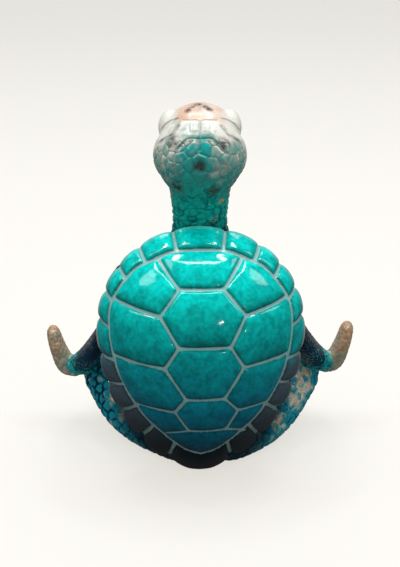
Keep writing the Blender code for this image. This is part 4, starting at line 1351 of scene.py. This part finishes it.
def skin_glaze(s):
    """The skin's glaze: none on the crown, thin on the cheeks, teal on the neck, and dark in the hollows by
    the shell's rim, partly deep glaze and partly painted shade.
    """
    if "skin_glaze" in bpy.data.materials:
        return bpy.data.materials["skin_glaze"]
    material, g, shader = new_material("skin_glaze", 0.12)
    blue, height = g.layer("blue"), g.place()["Z"]
    line = g.ease(g.layer("seam"), 0.38, 0.06)
    thick = g.plus(g.layer("thick"), g.sway(g.ease(blue, 0.0, 1.0, 0.55, 0.95), 0.0045, 3, 0.6, 21.0))
    thick = g.plus(thick, g.sway(g.ease(blue, 0.0, 1.0, 0.40, 0.60), 0.0013, 3, 0.3, 17.0))
    thick = g.plus(thick, g.times(g.minus(g.layer("cell"), 0.5), g.ease(blue, 0.0, 1.0, 0.18, 0.30)))
    thick = g.minus(thick, g.times(line, 0.06))
    glaze = g.ramp(thick, [
        (0.12, s.cream), (0.33, s.celadon), (0.52, s.teal), (0.74, s.bright), (1.00, s.deep)])
    glaze = g.mix(g.times(blue, g.ease(thick, 0.4, 0.6)), glaze, BLUER, "MULTIPLY")
    bare = g.ease(thick, 0.42, 0.18)

    def patchy(amount, size, detail, distortion, shift, low, high, least=0.0, most=1.0):
        """An amount where a cloudy noise lets it through."""
        cloud = g.noise(size, detail, distortion, shift)
        return g.times(amount, g.ease(cloud, low, high, least, most), clamp=True)

    warmth = patchy(g.layer("warm"), 0.0040, 2, 0.4, 51.0, 0.32, 0.62, 0.45, 1.0)
    clay = g.mix(g.ease(height, 0.06, 0.05), s.clay, s.rust)
    glaze = g.mix(g.times(warmth, bare), glaze, clay)
    # Pale lines along the limbs' scale borders: partly thin glaze, partly painted highlight.
    glaze = g.mix(patchy(g.times(line, blue), 0.004, 3, 0.0, 81.0, 0.46, 0.62, 0.0, 0.5), glaze, NET_AND_GLINT)
    glaze = g.mix(patchy(g.times(line, bare), 0.006, 2, 0.0, 83.0, 0.36, 0.60, 0.2, 0.8), glaze, BROWN)
    glaze = g.mix(patchy(g.layer("tan"), 0.0016, 3, 0.0, 33.0, 0.30, 0.55), glaze, s.tan)
    # Dark oxide in the creases, with painted shade at the nape's arc and patches.
    glaze = g.mix(patchy(g.layer("soot_and_shade"), 0.0014, 3, 0.0, 61.0, 0.30, 0.58, 0.25, 1.0), glaze, s.soot_and_shade)
    # Painted highlight round the two frontal scales.
    glaze = g.mix(g.times(g.layer("frame"), 0.22), glaze, FRONTAL_GLINT)
    # Painted shade, with deep glaze, in the hollows under the shell's rim.
    glaze = g.mix(g.times(g.layer("hollow_shade"), 0.93), glaze, s.pool)
    foot = g.ease(g.plus(height, g.times(g.noise(0.004, 2, 0.0, 71.0), 0.002)), 0.0022, 0.0014)
    glaze = g.mix(foot, glaze, BARE_FOOT)
    ripple = g.ease(g.layer("thick"), 0.50, 0.72, 0.60, 1.9)
    glaze_over(g, shader, glaze, g.ease(bare, 0.0, 1.0, 0.09, 0.24), ripple, g.times(bare, 0.30))
    return material


def worked_skin(name, forms, voxel):
    """A smooth skin over some forms, with its scales and creases worked in."""
    skin = fuse(name, forms, voxel, round(SMOOTHING_PASSES * (SMOOTHED_VOXEL / voxel) ** 2))
    carve_skin(skin, bpy.context.scene.turtle.skin)
    return skin


class MakeCarapace(bpy.types.Operator):
    """Makes the shell: a dome of raised plates with bands between them, inside a scalloped rim"""

    bl_idname = "turtle.make_carapace"
    bl_label = "Carapace"

    def execute(self, context):
        settings = context.scene.turtle.shell
        n = GRID
        carapace = make_shell(n)
        carve_carapace(carapace, settings, SHELL_WIDTH / n)
        hand_over(carapace, shell_glaze(settings))
        return {"FINISHED"}


class MakeHeadAndNeck(bpy.types.Operator):
    """Makes the head, turned up, with its creased crown, and the scaly neck under it"""

    bl_idname = "turtle.make_head_and_neck"
    bl_label = "Head and neck"

    def execute(self, context):
        forms = head_forms() + [limb("neck", neck_stations(), (1, 0, 0))]
        whole = worked_skin("head_skin", forms, HEAD_VOXEL)
        piece = cut_off(whole, "head_and_neck", above=True)
        bpy.data.objects.remove(whole)
        thin_out(piece)
        hand_over(piece, skin_glaze(context.scene.turtle.skin))
        return {"FINISHED"}


class MakeBodyAndFlippers(bpy.types.Operator):
    """Makes the belly with its shield, the crossed hind flippers and the fore flippers"""

    bl_idname = "turtle.make_body_and_flippers"
    bl_label = "Body and flippers"

    def execute(self, context):
        whole = worked_skin("body_skin", body_forms(), VOXEL)
        tuck_under_shell(whole)
        piece = cut_off(whole, "body_and_flippers", above=False)
        bpy.data.objects.remove(whole)
        thin_out(piece)
        hand_over(piece, skin_glaze(context.scene.turtle.skin))
        return {"FINISHED"}


def lamp(name, at, size, power, shape="RECTANGLE"):
    """A flat studio lamp that looks at the turtle."""
    light = bpy.data.lights.new(name, "AREA")
    light.shape = shape
    light.size, light.size_y = size
    light.energy = power
    made = add_object(name, light)
    made.location = at
    made.rotation_euler = (Vector(LAMPS_LOOK_AT) - Vector(at)).to_track_quat("-Z", "Y").to_euler()


def studio_light(s):
    """Soft light from all round, brighter from above. Glossy surfaces mirror little but the lamps."""
    world = bpy.data.worlds.new("studio")
    world.use_nodes = True
    g = Graph(world.node_tree)
    background = world.node_tree.nodes["Background"]
    direction = g.node("ShaderNodeTexCoord").outputs["Generated"]
    parts = g.node("ShaderNodeSeparateXYZ", {0: direction}).outputs
    rays = g.node("ShaderNodeLightPath").outputs
    soft = g.ease(parts["Z"], -0.2, 1.0, s.side_light, s.top_light)
    seen = g.times(rays["Is Camera Ray"], 0.9)
    plain = g.minus(1.0, g.math("MAXIMUM", rays["Is Camera Ray"], rays["Is Glossy Ray"]))
    room = g.ease(parts["Y"], -0.75, -0.97, s.mirrored_light, 0.40)
    mirrored = g.times(rays["Is Glossy Ray"], room)
    strength = g.plus(g.plus(g.times(soft, plain), seen), mirrored)
    g.tree.links.new(strength, background.inputs["Strength"])
    background.inputs["Color"].default_value = (*ROOM_TINT, 1)
    return world


def pale_floor(s):
    """A plain floor. The camera sees it brighter than the light it throws back."""
    corners = [(-FLOOR_REACH, -FLOOR_REACH, 0), (FLOOR_REACH, -FLOOR_REACH, 0),
               (FLOOR_REACH, FLOOR_REACH, 0), (-FLOOR_REACH, FLOOR_REACH, 0)]
    floor = mesh_object("floor", corners, [(0, 1, 2, 3)])
    material, g, shader = new_material("floor_paper", 0.8)
    shader.inputs["Base Color"].default_value = (*s.floor, 1)
    seen = g.node("ShaderNodeLightPath").outputs["Is Camera Ray"]
    # Painted light: the floor glows for the camera, dimmer farther away as lamp light falls off, and throws
    # a little bounce light of its own.
    backdrop = g.mix(g.ease(g.place()["Y"], -0.1, -1.2), s.glow, [0.87 * light for light in s.glow])
    g.tree.links.new(g.mix(seen, FLOOR_BOUNCE, backdrop), shader.inputs["Emission Color"])
    shader.inputs["Emission Strength"].default_value = 1.0
    floor.data.materials.append(material)
    return floor


def look_as_photo(s):
    """A camera behind the turtle that looks down on it, with the shell's tail at its row of the picture."""
    back = np.array([0.0, math.cos(s.elevation), math.sin(s.elevation)])
    up = np.array([0.0, -math.sin(s.elevation), math.cos(s.elevation)])
    place = np.array(CAMERA_LOOKS_AT) + back * s.distance
    camera = bpy.data.cameras.new("camera")
    camera.sensor_fit = "VERTICAL"
    camera.sensor_height = SENSOR_HEIGHT
    camera.lens = FOCAL / PICTURE_HEIGHT * SENSOR_HEIGHT
    tail = np.array([0.0, TAIL_BEHIND_ORIGIN, 0.0]) - place
    tail_above_middle = FOCAL * (tail @ up) / (tail @ -back)
    camera.shift_y = (tail_above_middle + TAIL_ROW - PICTURE_HEIGHT / 2) / PICTURE_HEIGHT
    made = add_object("camera", camera)
    turn = Matrix([(-1, 0, 0), (0, up[1], back[1]), (0, up[2], back[2])])
    made.matrix_world = Matrix.Translation(place) @ turn.to_4x4()
    return made


class MakeStage(bpy.types.Operator):
    """Makes the pale floor, the soft studio lamps and the camera"""

    bl_idname = "turtle.make_stage"
    bl_label = "Stage"

    def execute(self, context):
        s = context.scene.turtle.stage
        floor = pale_floor(s)
        floor.visible_glossy = False
        context.scene.world = studio_light(s)
        for row in LAMPS:
            lamp(*row)
        context.scene.camera = look_as_photo(s)
        context.scene.view_settings.view_transform = "Standard"
        return {"FINISHED"}


class TurtlePanel(bpy.types.Panel):
    """The turtle's pieces and settings in the 3D view's sidebar"""

    bl_idname = "VIEW3D_PT_turtle"
    bl_label = "Turtle"
    bl_space_type = "VIEW_3D"
    bl_region_type = "UI"
    bl_category = "Turtle"

    def draw(self, context):
        for maker in MAKERS:
            self.layout.operator(maker.bl_idname)
        for group in ("shell", "skin", "stage"):
            settings = getattr(context.scene.turtle, group)
            box = self.layout.box()
            for name in settings.__annotations__:
                box.prop(settings, name)


MAKERS = (MakeCarapace, MakeHeadAndNeck, MakeBodyAndFlippers, MakeStage)
CLASSES = (ShellSettings, SkinSettings, StageSettings, TurtleSettings, *MAKERS, TurtlePanel)


def register():
    for cls in CLASSES:
        bpy.utils.register_class(cls)
    bpy.types.Scene.turtle = bpy.props.PointerProperty(type=TurtleSettings)


def unregister():
    del bpy.types.Scene.turtle
    for cls in reversed(CLASSES):
        bpy.utils.unregister_class(cls)


def main():
    register()
    bpy.ops.turtle.make_carapace()
    bpy.ops.turtle.make_head_and_neck()
    bpy.ops.turtle.make_body_and_flippers()
    bpy.ops.turtle.make_stage()


if __name__ == "__main__":
    main()
